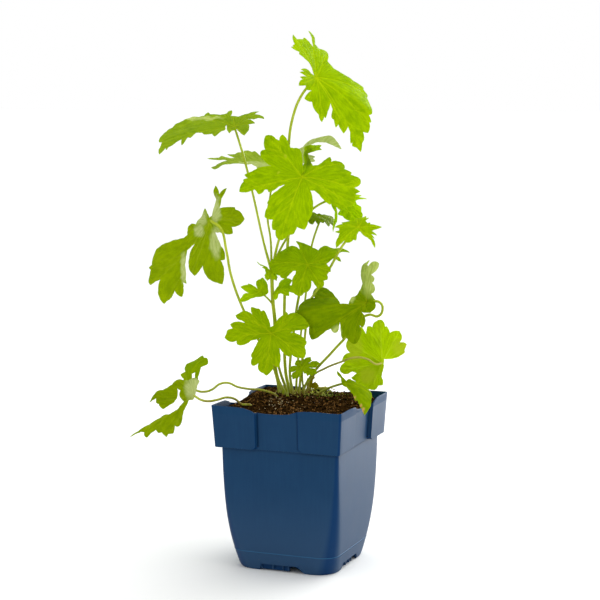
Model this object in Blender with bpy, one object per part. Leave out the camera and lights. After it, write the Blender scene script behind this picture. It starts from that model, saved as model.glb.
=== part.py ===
"""A young delphinium in a square nursery pot, made of the pot, the soil and the plant's separate leafy stems.

Run in Blender 4.5. Units are metres, +Z is up. The origin is in the middle of the pot's foot, on the ground.
The pot is square. At its corners the collar has raised panels: strong ones at the left and right corners of
the picture, faint ones at the near and the far corner.
"""

import math
import random

import bmesh
import bpy
from mathutils import Matrix, Vector
from mathutils.geometry import delaunay_2d_cdt

# Driving dimensions. Lengths that end in _MM and everything in the plant's table are millimetres.
MM = 0.001
FIT_GAP_MM = 0.35

POT_HEIGHT_MM = 156.2
POT_WALL_MM = 1.4
COLLAR_BOTTOM_MM = 116.5
COLLAR_TAPER_MM = 2.4
STRONG_PANEL_HALF_MM = 65.0
FAINT_PANEL_HALF_MM = 62.6
COLLAR_HALF_MM = 61.0
COLLAR_CORNER_MM = 4.0
STRONG_PANEL_EDGE_MM = 20.2
FAINT_PANEL_EDGE_MM = -19.4
PANEL_STEP_MM = 0.6
SHARPEST_CORNER_MM = 0.5

# The body's outer skin below the collar: height, half width between flats, corner radius.
BODY_LEVELS_MM = (
    (0.0, 48.5, 20.0),
    (5.0, 50.0, 19.0),
    (17.5, 52.4, 16.5),
    (34.0, 54.8, 13.5),
    (55.0, 56.6, 10.0),
    (85.0, 57.9, 6.0),
    (COLLAR_BOTTOM_MM, 58.4, 4.0),
)

# The rim dips in the middle of each side: place along the side, faint panel first, and dip.
RIM_DIP_MM = (
    (-20.0, 1.5),
    (FAINT_PANEL_EDGE_MM, 2.0),
    (-16.8, 4.4),
    (-13.5, 6.3),
    (0.0, 6.6),
    (16.0, 6.6),
    (STRONG_PANEL_EDGE_MM - PANEL_STEP_MM, 6.2),
    (STRONG_PANEL_EDGE_MM, 5.8),
    (22.4, 3.2),
    (24.6, 1.5),
)
CORNER_STEPS = 3

FLOOR_TOP_MM = 8.0
FLOOR_HALF_MM = 50.8
FLOOR_CORNER_MM = 18.0
FLOOR_UNDERSIDE_MM = 2.6
SKIRT_MM = 2.4
FOOT_PAD_HALF_MM = 12.0
FOOT_NOTCH_WIDTH_MM = 43.0
FOOT_NOTCH_HEIGHT_MM = 6.5
FOOT_NOTCH_DEPTH_MM = 2.6
DRAIN_RADIUS_MM = 4.0
DRAIN_PLACE_MM = 27.0
DRAIN_SIDES = 12
CUTTER_TALL_MM = 40.0

SOIL_EDGE_MM = 148.6
SOIL_LOOSE_MM = 0.15
CROWN_MM = (-8.0, 27.0, 154.6)
CROWN_SPREAD_MM = 46.0
SOIL_FIRST_RING_IN = 0.16
SOIL_RINGS = (1.0, 0.78, 0.5, 0.24)
SOIL_LUMP_MM = 0.7

BLADE_MM = 0.8
STALK_ROUNDNESS = 1
STALK_STEPS = 3
STEM_HOLE_GAP_MM = 0.45
PICTURE_TURN_DEG = 21.3
SEED = 20

POT_BLUE = (0.018, 0.051, 0.127, 1.0)
SOIL_BROWN = (0.035, 0.018, 0.009, 1.0)
LEAF_GREEN = (0.25, 0.42, 0.005, 1.0)
DARK_LEAF_GREEN = (0.14, 0.27, 0.004, 1.0)
WITHERED_YELLOW = (0.42, 0.36, 0.05, 1.0)

# Half of a small leaf's lobe: place along the lobe and share of its half width, tips and notches in turn.
SMALL_LOBE_EDGE = ((0.44, 0.66), (0.62, 1.0), (0.66, 0.72), (0.82, 0.62), (0.86, 0.36), (1.0, 0.0))
BASAL_EDGE = ((0.20, 0.50), (0.34, 0.84))
SMALL_LEAF_CUT = 0.36
CLEAR_OF_CUT = 1.06
ROOM_SHARE = 0.9
WIDEST_ROOM = math.radians(77)
ALONG_JITTER = 0.014
OUT_JITTER = 0.07
BEHIND_HUB_MM = 2.0

# How a leaf's blade is carried into space and split into triangles.
LOBE_DROOP = 0.10
MIDLINE_SHARES = (0.28, 0.55, 0.8)
EDGE_CLEAR_MM = 1.2

# How an outline that was drawn as the viewer sees it is laid on the planes between a leaf's lobes.
EYE_MM = (-1.2, -1588.4, 441.9)
LAYING_ROUNDS = 4
OFF_PLANE_COST = 4.0
WIDEST_FAN = math.radians(342)



# The plant, in millimetres: across to the right, back from the viewer and up, as seen in the picture.
# A stalk is its foot radius, top radius and route. A leaf is its hub, its lobes and its edge. The lobes go
# round anticlockwise as seen from the leaf's upper side: each lobe's tip, half width and arch. The edge is
# where its points appear, across and up, on the upright plane through the pot's middle. A small leaf's edge
# is left empty, and is made of lobes with teeth.
PLANT = {
    "main_shoot": (
        [
            (2.3, 1.5, [
                (-16, 25, 140), (-16, 25, 154), (-23, 23, 172), (-26, 18, 201), (-25, 15, 226),
                (-27, 14, 248), (-28, 14, 279),
            ]),
            (1.3, 0.9, [(-28, 14, 275), (-35, 14, 301), (-46, 12, 351), (-54, 9, 384), (-62, 6, 411)]),
            (1.2, 0.9, [(-28, 14, 275), (-29, 20, 305), (-32, 27, 327), (-29, 34, 349), (-28, 40, 374)]),
            (1.4, 1.0, [(-28, 14, 276), (-21, 10, 306), (-10, 6, 338), (1, -6, 365)]),
            (1.2, 0.9, [(-28, 14, 279), (-14, 17, 306), (-1, 18, 322), (16, 15, 338), (35, 12, 346)]),
            (1.0, 0.8, [(-27, 14, 244), (-32, 12, 250), (-39, 9, 257)]),
            (1.0, 0.8, [(-27, 14, 250), (-24, 11, 254), (-20, 9, 259)]),
            (1.0, 0.8, [(-28, 14, 273), (-30, 9, 276), (-30, 6, 278)]),
        ],
        [
            ((-62, 6, 411), [
                ((-52, -22, 404), 9, 2),
                ((-42, -10, 411), 8, 2),
                ((-35, 14, 419), 8, 3),
                ((-41, 42, 426), 8, 3),
                ((-67, 46, 426), 10, 3),
                ((-90, 46, 423), 15, 3),
                ((-126, 2, 399), 18, 2),
                ((-80, -20, 401), 12, 2),
                ((-66, -18, 404), 5, 1),
            ], [
                (-60, 410), (-57, 407), (-53, 403.5), (-50.5, 406.5), (-48.5, 410.5), (-49.5, 414.5),
                (-43, 415), (-46, 417.5), (-51, 419), (-47.5, 419.5), (-44, 419), (-40, 420),
                (-34.5, 419), (-37.5, 422), (-44, 423.5), (-39, 426), (-44, 426), (-48.5, 424),
                (-54, 423), (-58.5, 421), (-65.5, 421.5), (-64.5, 426.5), (-69, 424), (-75.5, 423),
                (-84, 423), (-86.5, 424.5), (-90, 421.5), (-95, 420.5), (-100.5, 421), (-110, 417.5),
                (-120, 411.5), (-125.5, 407.5), (-130, 403), (-132, 398), (-129.5, 397), (-131.5, 392),
                (-132, 386), (-126, 392.5), (-125.5, 390), (-123, 393), (-113.5, 399.5), (-111, 400.5),
                (-111.5, 395.5), (-105.5, 402), (-103, 401.5), (-98, 406.5), (-92.5, 406.5),
                (-88.5, 405), (-83, 405.5), (-80.5, 403), (-74.5, 407.5), (-72, 408.5), (-70.5, 412),
                (-69, 413.5), (-67, 406), (-64.5, 408.5), (-62, 409),
            ]),
            ((-28, 40, 374), [
                ((-37, 24, 360), 8, 2),
                ((-86, 28, 372), 8, 2),
                ((-90, 44, 380), 8, 3),
                ((-72, 62, 384), 9, 3),
                ((-26, 74, 388), 9, 3),
                ((-13, 56, 371), 9, 2),
            ], [
                (-31, 367), (-36.5, 361.5), (-40.5, 370), (-42, 375), (-46, 377), (-52.5, 377.5),
                (-63.5, 378), (-71, 377), (-75.5, 375), (-80.5, 372.5), (-84, 374), (-79.5, 376),
                (-75, 378.5), (-68, 380.5), (-72, 381.5), (-79.5, 381), (-87.5, 382), (-76.5, 383.5),
                (-74, 385), (-71.5, 384), (-66.5, 383), (-61, 383), (-64.5, 384.5), (-69, 386),
                (-61.5, 386.5), (-58, 388), (-54, 388), (-53.5, 389.5), (-49.5, 389.5), (-46, 388.5),
                (-43.5, 389), (-39.5, 386), (-36.5, 383), (-31, 384.5), (-27, 391), (-21.5, 389.5),
                (-18, 383), (-21.5, 377.5), (-13.5, 377.5), (-12.5, 370), (-21.5, 370),
            ]),
            ((1, -6, 365), [
                ((2, 4, 391), 10, 2),
                ((-24, 10, 404), 19, 3),
                ((-58, 2, 353), 14, 3),
                ((-19, -28, 309), 24, 5),
                ((34, -22, 338), 14, 4),
                ((55, -8, 360), 18, 4),
                ((27, 6, 383), 14, 3),
                ((21, 24, 393), 7, 2),
                ((4, 30, 389), 6, 1),
            ], [
                (2, 368.5), (1, 376.5), (0.5, 384), (-0.5, 389), (-3.5, 392), (-7, 392), (-10, 392.5),
                (-12, 396.5), (-13.5, 400.5), (-15.5, 403), (-17.5, 404.5), (-19.5, 403), (-20.5, 399),
                (-23.5, 400.5), (-26, 403), (-29, 404), (-33, 403.5), (-34.5, 398.5), (-34, 392),
                (-33.5, 390.5), (-36.5, 390), (-38, 388.5), (-37.5, 384), (-35, 381), (-31.5, 377.5),
                (-27.5, 375.5), (-33, 375), (-42, 372.5), (-46, 370.5), (-53, 367), (-50, 364),
                (-54, 362.5), (-53.5, 360.5), (-56, 357.5), (-58, 351.5), (-53.5, 351), (-48, 352),
                (-43.5, 353.5), (-42, 352), (-40, 349), (-36.5, 350.5), (-34, 353.5), (-31.5, 353.5),
                (-30.5, 351), (-27.5, 352), (-21, 356.5), (-17, 358), (-14.5, 358.5), (-18, 356),
                (-22.5, 352.5), (-27.5, 348.5), (-29, 345.5), (-32, 340.5), (-29.5, 339.5), (-32.5, 336),
                (-34.5, 328), (-31.5, 326), (-26.5, 325.5), (-27.5, 322), (-27, 316), (-24, 315.5),
                (-24, 312), (-22, 307.5), (-19.5, 306), (-16, 307), (-13.5, 309.5), (-12, 311.5),
                (-8, 311.5), (-5.5, 315), (-4, 318.5), (3, 316), (5, 319), (6.5, 324), (8.5, 327.5),
                (10.5, 332.5), (11, 339), (10.5, 344.5), (8.5, 352.5), (12, 352.5), (16.5, 349),
                (20.5, 344.5), (26.5, 339.5), (29.5, 340.5), (33.5, 336.5), (37.5, 333.5), (42, 337),
                (50, 340.5), (50, 344), (51, 349.5), (55, 351.5), (49.5, 355), (55, 358.5),
                (55.5, 360.5), (54, 364), (50, 366), (46, 367), (47, 369), (40, 372.5), (40.5, 375),
                (39, 377.5), (34, 379.5), (30.5, 380), (28, 379), (27.5, 382.5), (26.5, 384),
                (22.5, 381.5), (19, 378.5), (15.5, 376), (11, 375.5), (9, 378.5), (7, 383), (5.5, 387),
                (9, 388.5), (19, 390.5), (17, 392), (19, 394), (13.5, 394.5), (7, 394.5), (3, 392.5),
                (3, 389.5), (3, 379),
            ]),
            ((35, 12, 346), [
                ((30, 4, 314), 3, 2),
                ((45, -4, 324), 12, 2),
                ((58, 0, 331), 9, 2),
                ((62, 14, 344), 5, 2),
                ((48, 30, 353), 7, 2),
                ((30, 36, 356), 7, 2),
                ((25, 28, 350), 6, 1),
            ], [
                (34.5, 343), (39, 338), (37, 334.5), (34.5, 330), (39, 328.5), (42, 325.5), (46.5, 324),
                (52, 324), (56, 326.5), (57.5, 329.5), (56, 333), (56, 337), (52, 339.5), (50.5, 343),
                (53, 344.5), (61.5, 345), (53, 346.5), (56.5, 348), (51, 349), (47.5, 353), (41.5, 357),
                (36, 355), (30.5, 357), (25, 353), (25, 347.5), (28, 339.5), (31.5, 332.5), (31.5, 327),
                (29.5, 314), (32, 320.5), (34, 330.5), (32.5, 337),
            ]),
            ((-39, 9, 256), [
                ((-37, 16, 269), 6, 2),
                ((-50, 8, 264), 5, 2),
                ((-57, 2, 262), 5, 2),
                ((-57, -8, 250), 6, 2),
            ], [
                (-31, 256.5), (-31.5, 261), (-32, 265), (-34.5, 269), (-36.5, 271), (-38.5, 269.5),
                (-41, 268.5), (-42.5, 266), (-41, 259.5), (-45.5, 263.5), (-50, 265.5), (-50, 264),
                (-57, 262.5), (-54.5, 260), (-48.5, 256), (-53, 256), (-56, 252.5), (-58, 249.5),
                (-57, 248), (-51, 249), (-47.5, 251), (-42.5, 252.5), (-37, 253),
            ]),
            ((-20, 9, 259), [
                ((-25, 2, 249), 5, 1),
                ((-12, -4, 254), 5, 1),
                ((-7, 2, 260), 5, 1),
                ((-10, 14, 267), 5, 1),
            ], [
                (-25.5, 256), (-26, 252.5), (-24.5, 249.5), (-22.5, 251.5), (-21.5, 255), (-19.5, 256),
                (-16.5, 255), (-13.5, 254), (-11.5, 254), (-11.5, 257.5), (-7.5, 256.5), (-7.5, 261),
                (-11, 264.5), (-8.5, 268), (-13.5, 270), (-17, 269), (-20, 266.5), (-21.5, 263),
                (-24, 260),
            ]),
            ((-30, 6, 278), [
                ((-37, 12, 279), 2.5, 1),
                ((-42, 10, 285), 2.5, 1),
                ((-32, -2, 268), 4, 1),
                ((-23, -2, 268), 4, 1),
            ], [
            ]),
        ],
    ),
    "second_shoot": (
        [
            (2.1, 1.0, [
                (-11, 32, 140), (-11, 32, 154), (-15, 31, 176), (-16, 30, 212), (-16, 29, 246),
                (-14, 28, 283), (-12, 26, 318), (-12, 20, 357), (-12, 16, 390), (-8, 12, 420),
                (1, 9, 442), (14, 6, 457),
            ]),
            (1.1, 0.8, [(-12, 26, 316), (-9, 28, 346), (-6, 32, 378)]),
        ],
        [
            ((14, 6, 457), [
                ((3, -10, 438), 7, 2),
                ((19, -12, 416), 10, 3),
                ((38, -14, 406), 12, 4),
                ((55, -14, 389), 16, 5),
                ((66, 0, 424), 17, 5),
                ((59, 22, 448), 16, 4),
                ((25, 40, 483), 10, 3),
                ((7, 40, 501), 6, 2),
                ((-9, 18, 494), 12, 3),
                ((-2, -6, 462), 9, 2),
                ((-2, -16, 450), 7, 2),
            ], [
                (10, 445.5), (6, 442.5), (3, 438), (6.5, 435.5), (10, 435), (12.5, 427.5), (16, 423),
                (17, 419), (19, 416), (21.5, 421), (22.5, 419.5), (24.5, 425.5), (27, 435), (29, 428),
                (28.5, 419.5), (30, 418.5), (32, 411), (34.5, 414), (39.5, 405.5), (43.5, 412),
                (45.5, 407), (46, 396.5), (47.5, 397), (47.5, 394), (51, 392.5), (55.5, 388.5),
                (56.5, 396.5), (58.5, 401), (57, 407), (62, 406), (63.5, 410.5), (63, 415.5), (65, 416),
                (62.5, 422.5), (65.5, 423.5), (64, 431.5), (60.5, 438), (61.5, 440.5), (57.5, 445.5),
                (57.5, 448), (48, 454), (36, 461.5), (29.5, 466.5), (24.5, 472), (25, 477.5),
                (23.5, 481.5), (20, 483), (17, 483.5), (12.5, 487.5), (11.5, 494.5), (6.5, 499.5),
                (9.5, 493.5), (11.5, 484), (8.5, 488), (5.5, 491.5), (2.5, 493.5), (1, 491.5), (-4, 492),
                (-7.5, 496.5), (-7.5, 491.5), (-6, 488), (-8, 486.5), (-6.5, 485.5), (-9.5, 485),
                (-2, 480.5), (-2, 478.5), (2, 476), (6.5, 472), (10, 466), (12.5, 458.5), (9, 461),
                (5.5, 464.5), (-0.5, 464.5), (3, 462.5), (-1.5, 462), (6.5, 457.5), (-1, 458),
                (1.5, 455.5), (-1.5, 453.5), (-2, 450), (4, 446),
            ]),
            ((-6, 32, 378), [
                ((-16, 34, 370), 8, 2),
                ((-23, 46, 381), 8, 2),
                ((-13, 56, 389), 8, 2),
                ((16, 50, 399), 6, 2),
                ((38, 44, 390), 6, 3),
                ((12, 28, 377), 6, 1),
                ((4, 22, 371), 6, 1),
            ], [
                (-9.5, 370), (-16, 373.5), (-21.5, 375.5), (-23.5, 384.5), (-16, 384.5), (-12.5, 391),
                (-6, 389.5), (1.5, 393), (4.5, 396.5), (9, 400), (15.5, 402.5), (23, 403), (27.5, 403),
                (32.5, 399), (35, 395.5), (37.5, 391), (34, 392.5), (29.5, 394.5), (23, 397.5),
                (15.5, 397.5), (10, 396), (4.5, 392.5), (2.5, 388.5), (7, 385.5), (11, 384.5),
                (13, 383.5), (10.5, 382.5), (13, 380), (10, 379), (5.5, 381), (1.5, 377.5), (4.5, 371.5),
                (-1, 370),
            ]),
        ],
    ),
    "leaf_centre": (
        [
            (1.7, 1.0, [
                (-8, 25, 140), (-8, 25, 154), (-11, 24, 177), (-8, 20, 209), (-3, 12, 248), (2, 5, 268),
                (6, -2, 283),
            ]),
        ],
        [
            ((6, -2, 283), [
                ((27, 4, 283), 6, 2),
                ((45, 14, 293), 10, 3),
                ((-5, 16, 304), 9, 3),
                ((-29, 2, 283), 16, 4),
                ((-1, -20, 256), 13, 4),
                ((20, -22, 264), 8, 3),
                ((28, -20, 280), 9, 3),
            ], [
                (22, 283), (28, 287.5), (30.5, 289), (34, 287), (37.5, 286), (36, 289.5), (32.5, 291),
                (32.5, 293.5), (38, 295), (41.5, 294.5), (45, 294), (41, 297), (37, 299), (30.5, 298.5),
                (27, 299.5), (23, 301), (19.5, 300), (16, 296.5), (11, 298.5), (4.5, 302), (-5, 305),
                (-2.5, 301.5), (-0.5, 295.5), (-3, 298.5), (-6.5, 300.5), (-10.5, 300.5), (-16, 297.5),
                (-19.5, 295), (-23, 291), (-27.5, 288), (-30, 283.5), (-28.5, 279.5), (-24.5, 274.5),
                (-20, 272.5), (-18.5, 270.5), (-15, 270), (-10.5, 274.5), (-7.5, 277.5), (-5, 277.5),
                (-5.5, 274.5), (-8, 270), (-8.5, 265), (-10.5, 260), (-7.5, 256.5), (-1.5, 253.5),
                (0.5, 254), (2.5, 256.5), (5, 257), (8, 259.5), (9.5, 265), (9.5, 268), (11, 267),
                (13.5, 263), (16, 260.5), (20.5, 262), (21.5, 265.5), (21, 268), (24.5, 269),
                (25, 271.5), (24, 274), (25, 276), (27.5, 276.5), (27, 280), (25, 282),
            ]),
        ],
    ),
    "leaf_right_light": (
        [
            (1.6, 0.9, [
                (-2, 25, 140), (-2, 25, 154), (0, 24, 179), (4, 20, 217), (6, 16, 242), (14, 6, 257),
                (27, -6, 281), (40, -17, 305), (53, -24, 320),
            ]),
        ],
        [
            ((53, -24, 320), [
                ((67, -38, 303), 6, 2),
                ((74, -28, 320), 6, 2),
                ((63, -14, 328), 5, 2),
                ((47, -12, 327), 6, 2),
                ((31, -22, 319), 7, 2),
                ((32, -36, 304), 8, 2),
                ((49, -38, 310), 5, 1),
            ], [
                (55.5, 314.5), (57, 312), (61.5, 309), (65, 306), (69, 299), (69, 303.5), (65.5, 309.5),
                (68.5, 307.5), (65, 312.5), (71, 310.5), (66, 315), (68.5, 316), (72, 317),
                (75.5, 318.5), (71, 320), (64.5, 321), (64.5, 322.5), (62, 322), (60, 324),
                (63.5, 327.5), (60.5, 326), (60.5, 329), (57, 327), (52.5, 326.5), (49.5, 323.5),
                (41, 323.5), (37.5, 323), (39, 321.5), (31.5, 318), (35.5, 317), (35.5, 315),
                (31.5, 314), (36, 312.5), (34.5, 309), (32.5, 305.5), (32.5, 299.5), (36, 302.5),
                (40, 306), (42, 304), (46.5, 305), (48.5, 307), (51, 306.5), (52, 311.5),
            ]),
        ],
    ),
    "leaf_back_small": (
        [
            (1.5, 0.8, [
                (-5, 32, 140), (-5, 32, 154), (-4, 33, 176), (-1, 36, 206), (5, 40, 255), (10, 41, 297),
                (19, 40, 325),
            ]),
        ],
        [
            ((19, 40, 325), [
                ((10, 54, 328), 7, 2),
                ((8, 32, 320), 8, 2),
                ((18, 22, 319), 7, 2),
                ((26, 26, 317), 7, 2),
                ((32, 44, 320), 7, 2),
                ((25, 54, 326), 5, 1),
            ], [
                (19.5, 330), (14, 331), (9.5, 332.5), (7.5, 329), (6.5, 325), (8, 322), (10.5, 321.5),
                (13, 324.5), (16, 320.5), (18, 323), (20.5, 321.5), (21.5, 323.5), (25.5, 318.5),
                (27, 322.5), (30, 319.5), (32, 323), (29.5, 326.5), (27, 328.5), (23, 330),
            ]),
        ],
    ),
    "leaf_left_hanging": (
        [
            (1.7, 1.0, [
                (-21, 33, 140), (-21, 33, 154), (-27, 34, 181), (-42, 21, 211), (-55, 9, 240),
                (-66, 2, 273), (-70, -8, 298), (-75, -10, 318), (-85, -2, 325),
            ]),
        ],
        [
            ((-85, -2, 325), [
                ((-75, 2, 265), 12, 4),
                ((-100, 0, 272), 12, 4),
                ((-129, 4, 246), 14, 6),
                ((-143, 12, 263), 14, 6),
                ((-107, 18, 318), 8, 2),
                ((-91, 18, 335), 5, 1),
                ((-76, 14, 356), 6, 1),
                ((-53, 6, 326), 12, 2),
                ((-65, 2, 312), 8, 2),
            ], [
                (-80.5, 313), (-78, 307), (-75, 300.5), (-72.5, 296.5), (-71.5, 288), (-75.5, 287),
                (-73.5, 283), (-72.5, 277), (-74, 264.5), (-79, 266), (-85, 268.5), (-89, 272.5),
                (-91.5, 277.5), (-92.5, 282), (-94.5, 279), (-100, 272.5), (-102.5, 275), (-104.5, 278),
                (-105.5, 283), (-105, 289.5), (-103.5, 296), (-101, 300.5), (-98, 305), (-102.5, 300.5),
                (-106.5, 296.5), (-108, 290.5), (-109, 283), (-108.5, 269.5), (-107.5, 265),
                (-111, 266.5), (-110.5, 261), (-112, 252.5), (-115.5, 254), (-119, 258.5), (-120.5, 255),
                (-123, 251), (-126.5, 248.5), (-129, 246), (-131.5, 248.5), (-133.5, 252.5),
                (-134.5, 259), (-132.5, 269), (-136.5, 267), (-141.5, 263.5), (-143, 267.5),
                (-142.5, 273.5), (-141, 278), (-142.5, 280), (-140, 283), (-139.5, 288.5),
                (-137.5, 293.5), (-134, 298.5), (-128.5, 302), (-122, 305), (-115.5, 307),
                (-110.5, 308.5), (-107, 311), (-106.5, 315.5), (-105.5, 319), (-102.5, 321.5),
                (-98.5, 321), (-97, 324), (-93.5, 328), (-90, 336), (-88, 331.5), (-86, 327),
                (-83.5, 329), (-81, 338), (-79.5, 344), (-81.5, 352.5), (-79.5, 357), (-76.5, 349),
                (-74, 352.5), (-69.5, 355), (-74.5, 345), (-76.5, 336), (-62, 337), (-61.5, 335),
                (-58, 333.5), (-54.5, 329), (-53, 326), (-55.5, 322.5), (-59.5, 319.5), (-65, 318.5),
                (-64, 312.5), (-68.5, 311.5), (-72, 312.5), (-76.5, 313.5),
            ]),
        ],
    ),
    "leaf_front": (
        [
            (1.7, 1.0, [(-13, 19, 140), (-13, 19, 154), (-20, 8, 180), (-25, -8, 203), (-28, -22, 221)]),
        ],
        [
            ((-28, -22, 221), [
                ((-46, -14, 244), 14, 3),
                ((-71, -26, 218), 12, 3),
                ((-32, -44, 186), 15, 3),
                ((2, -38, 202), 15, 3),
                ((6, -20, 228), 13, 3),
            ], [
                (-29, 224), (-30, 229), (-31.5, 232.5), (-35, 240), (-38, 239), (-39, 241), (-42, 241.5),
                (-47, 243), (-47.5, 240.5), (-46, 236), (-50, 238.5), (-54, 239), (-58.5, 237),
                (-62, 235), (-59.5, 231.5), (-56, 230.5), (-50, 226.5), (-55, 228.5), (-61, 229),
                (-67, 226.5), (-64.5, 222.5), (-67.5, 222), (-69.5, 221), (-70.5, 218), (-72.5, 214),
                (-66.5, 210), (-61, 211), (-61, 208.5), (-59.5, 207), (-50.5, 208.5), (-47.5, 211),
                (-38.5, 213.5), (-40.5, 210.5), (-43, 206), (-45.5, 201), (-47.5, 196.5), (-46.5, 194.5),
                (-47.5, 191.5), (-46.5, 187.5), (-45, 187), (-40.5, 189.5), (-41, 185), (-39, 181.5),
                (-36, 180), (-32.5, 177.5), (-28.5, 181.5), (-26.5, 185), (-27, 189), (-25, 187),
                (-21, 185.5), (-20, 190), (-19.5, 194.5), (-20, 199.5), (-22, 207.5), (-17, 199.5),
                (-13.5, 196.5), (-10.5, 195.5), (-9, 198), (-7, 196), (-1, 194.5), (3, 195), (4.5, 201),
                (3, 205.5), (5, 208.5), (3, 213), (-0.5, 216), (-4, 217.5), (-11.5, 218.5), (-5, 220.5),
                (5, 223), (7.5, 225), (5, 229), (1.5, 233.5), (-3, 236.5), (-5.5, 237.5), (-9, 237.5),
                (-12.5, 235.5), (-13, 237.5), (-14.5, 238), (-16.5, 235.5), (-20, 233.5), (-23.5, 229.5),
                (-25.5, 225.5),
            ]),
        ],
    ),
    "leaf_right_dark": (
        [
            (1.5, 1.0, [
                (1, 29, 140), (1, 29, 154), (7, 22, 170), (31, 8, 201), (42, 3, 214), (53, 2, 229),
                (64, -2, 236), (72, -5, 235), (76, -8, 241), (73, -11, 249), (61, -8, 248),
            ]),
        ],
        [
            ((61, -8, 248), [
                ((68, -6, 254), 5, 1),
                ((67, 6, 287), 9, 2),
                ((49, 6, 258), 6, 1),
                ((14, 22, 258), 11, 3),
                ((-4, -8, 238), 16, 4),
                ((10, -10, 214), 16, 4),
                ((31, -14, 221), 7, 2),
                ((49, -26, 213), 13, 4),
                ((58, -24, 229), 6, 2),
                ((69, -16, 245), 8, 2),
            ], [
                (68, 251.5), (65.5, 255.5), (68.5, 257.5), (69, 262), (66.5, 266), (68.5, 268.5),
                (68, 271.5), (65.5, 273.5), (68, 275.5), (71, 278.5), (73, 284), (70.5, 286), (67, 286),
                (64.5, 284), (63, 281.5), (62, 283), (63.5, 287.5), (61, 285.5), (58, 283), (56.5, 279),
                (56, 274.5), (57.5, 265), (56, 260), (54, 257), (50.5, 253), (48, 252.5), (46, 250),
                (44.5, 246), (36.5, 246), (35, 249), (31.5, 253.5), (27, 258), (22.5, 261), (15.5, 262),
                (11, 257.5), (13, 251.5), (4.5, 250), (0, 246), (-3, 241), (-5, 236.5), (-2, 230),
                (4.5, 226), (7.5, 224), (7, 220.5), (8, 215.5), (10, 212), (14, 213), (18.5, 216.5),
                (23.5, 220.5), (28, 222.5), (29, 220), (32, 218.5), (34, 219.5), (35.5, 225),
                (36.5, 231), (37, 225), (37.5, 218.5), (38.5, 213), (42, 215), (46.5, 209.5),
                (49.5, 208), (53, 210), (55.5, 214), (56.5, 224.5), (58, 223.5), (60, 228), (60, 233),
                (56.5, 238.5), (61, 237.5), (65, 237.5), (70, 243.5), (69, 248),
            ]),
        ],
    ),
    "leaf_right_low": (
        [
            (1.2, 0.8, [
                (5, 33, 140), (5, 33, 154), (11, 26, 173), (22, 20, 181), (38, 6, 190), (50, 0, 195),
                (61, 0, 194), (71, 4, 188), (77, 10, 188),
            ]),
        ],
        [
            ((77, 10, 188), [
                ((67, 12, 163), 14, 2),
                ((38, 18, 182), 11, 3),
                ((45, 28, 206), 15, 3),
                ((76, 34, 226), 13, 3),
                ((94, 32, 215), 10, 3),
                ((100, 24, 199), 9, 2),
            ], [
                (78, 190), (76.5, 180), (76, 176.5), (77.5, 172.5), (77, 168.5), (73, 168),
                (70.5, 164.5), (65, 164.5), (60.5, 166.5), (55.5, 168.5), (51, 172.5), (47, 175.5),
                (49.5, 177.5), (52.5, 180), (48, 181.5), (45.5, 180), (42.5, 179), (39, 180),
                (36.5, 182.5), (37, 186), (41, 190.5), (38.5, 192.5), (41.5, 198), (46, 199.5),
                (42.5, 204.5), (43.5, 211.5), (48, 217.5), (53.5, 221), (56.5, 224.5), (61, 217.5),
                (61.5, 221), (62, 224.5), (64, 225), (67, 224), (68, 227.5), (70.5, 229.5), (74.5, 231),
                (77.5, 229), (79, 224.5), (80.5, 225), (82.5, 222), (83.5, 218.5), (86, 220), (93, 220),
                (95, 214.5), (93, 209.5), (97, 209.5), (99.5, 207.5), (97.5, 202), (98, 200), (94, 197),
                (88.5, 194.5), (78, 193.5),
            ]),
        ],
    ),
    "leaf_over_rim": (
        [
            (1.4, 0.9, [(17, 25, 140), (17, 25, 154), (25, 12, 163), (34, -2, 169), (41, -14, 173)]),
        ],
        [
            ((41, -14, 173), [
                ((58, -50, 150), 9, 4),
                ((65, -36, 164), 9, 4),
                ((48, -10, 175), 5, 1),
                ((35, -6, 183), 3, 1),
            ], [
                (43, 166.5), (46, 163), (49, 160), (50, 156.5), (51, 154), (53.5, 154), (55, 150),
                (57.5, 145.5), (60, 140), (64, 145.5), (66, 150.5), (66, 155), (67, 159), (65, 163),
                (58.5, 167.5), (52.5, 171), (46, 174.5), (42.5, 172.5), (39, 176), (34, 182), (34, 179),
                (37.5, 175), (38, 171.5),
            ]),
        ],
    ),
    "leaf_base_small": (
        [
            (1.2, 0.8, [(3, 20, 140), (3, 20, 154), (1, 12, 173), (1, 5, 184)]),
        ],
        [
            ((1, 5, 184), [
                ((15, -8, 181), 6, 1),
                ((18, 0, 189), 6, 1),
                ((9, 10, 194), 6, 1),
                ((-5, 14, 190), 5, 1),
                ((-12, 6, 182), 6, 1),
                ((-8, -6, 175), 6, 1),
            ], [
            ]),
        ],
    ),
    "leaf_left_low_near": (
        [
            (1.3, 0.9, [
                (-47, -13, 140), (-47, -13, 151), (-56, -15, 153), (-62, -16, 158), (-70, -18, 160),
                (-79, -20, 158), (-87, -21, 157), (-94, -24, 159), (-101, -22, 163),
            ]),
        ],
        [
            ((-101, -22, 163), [
                ((-116, -36, 133), 9, 2),
                ((-142, -44, 130), 14, 4),
                ((-129, -24, 153), 13, 4),
                ((-141, -14, 156), 10, 3),
                ((-114, -14, 176), 7, 2),
                ((-98, -20, 178), 7, 1),
            ], [
                (-102.5, 154.5), (-106.5, 154), (-109.5, 147.5), (-111.5, 143.5), (-112.5, 139),
                (-115.5, 129.5), (-117.5, 128.5), (-120, 129.5), (-121.5, 122), (-126, 121.5),
                (-128, 118.5), (-132.5, 123.5), (-135.5, 122.5), (-138, 125.5), (-142.5, 122.5),
                (-146.5, 118), (-149, 120), (-149, 123.5), (-152, 124), (-157, 122), (-162.5, 118.5),
                (-155, 124.5), (-144.5, 130.5), (-134, 137), (-129, 140), (-125.5, 140), (-121.5, 142.5),
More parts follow.
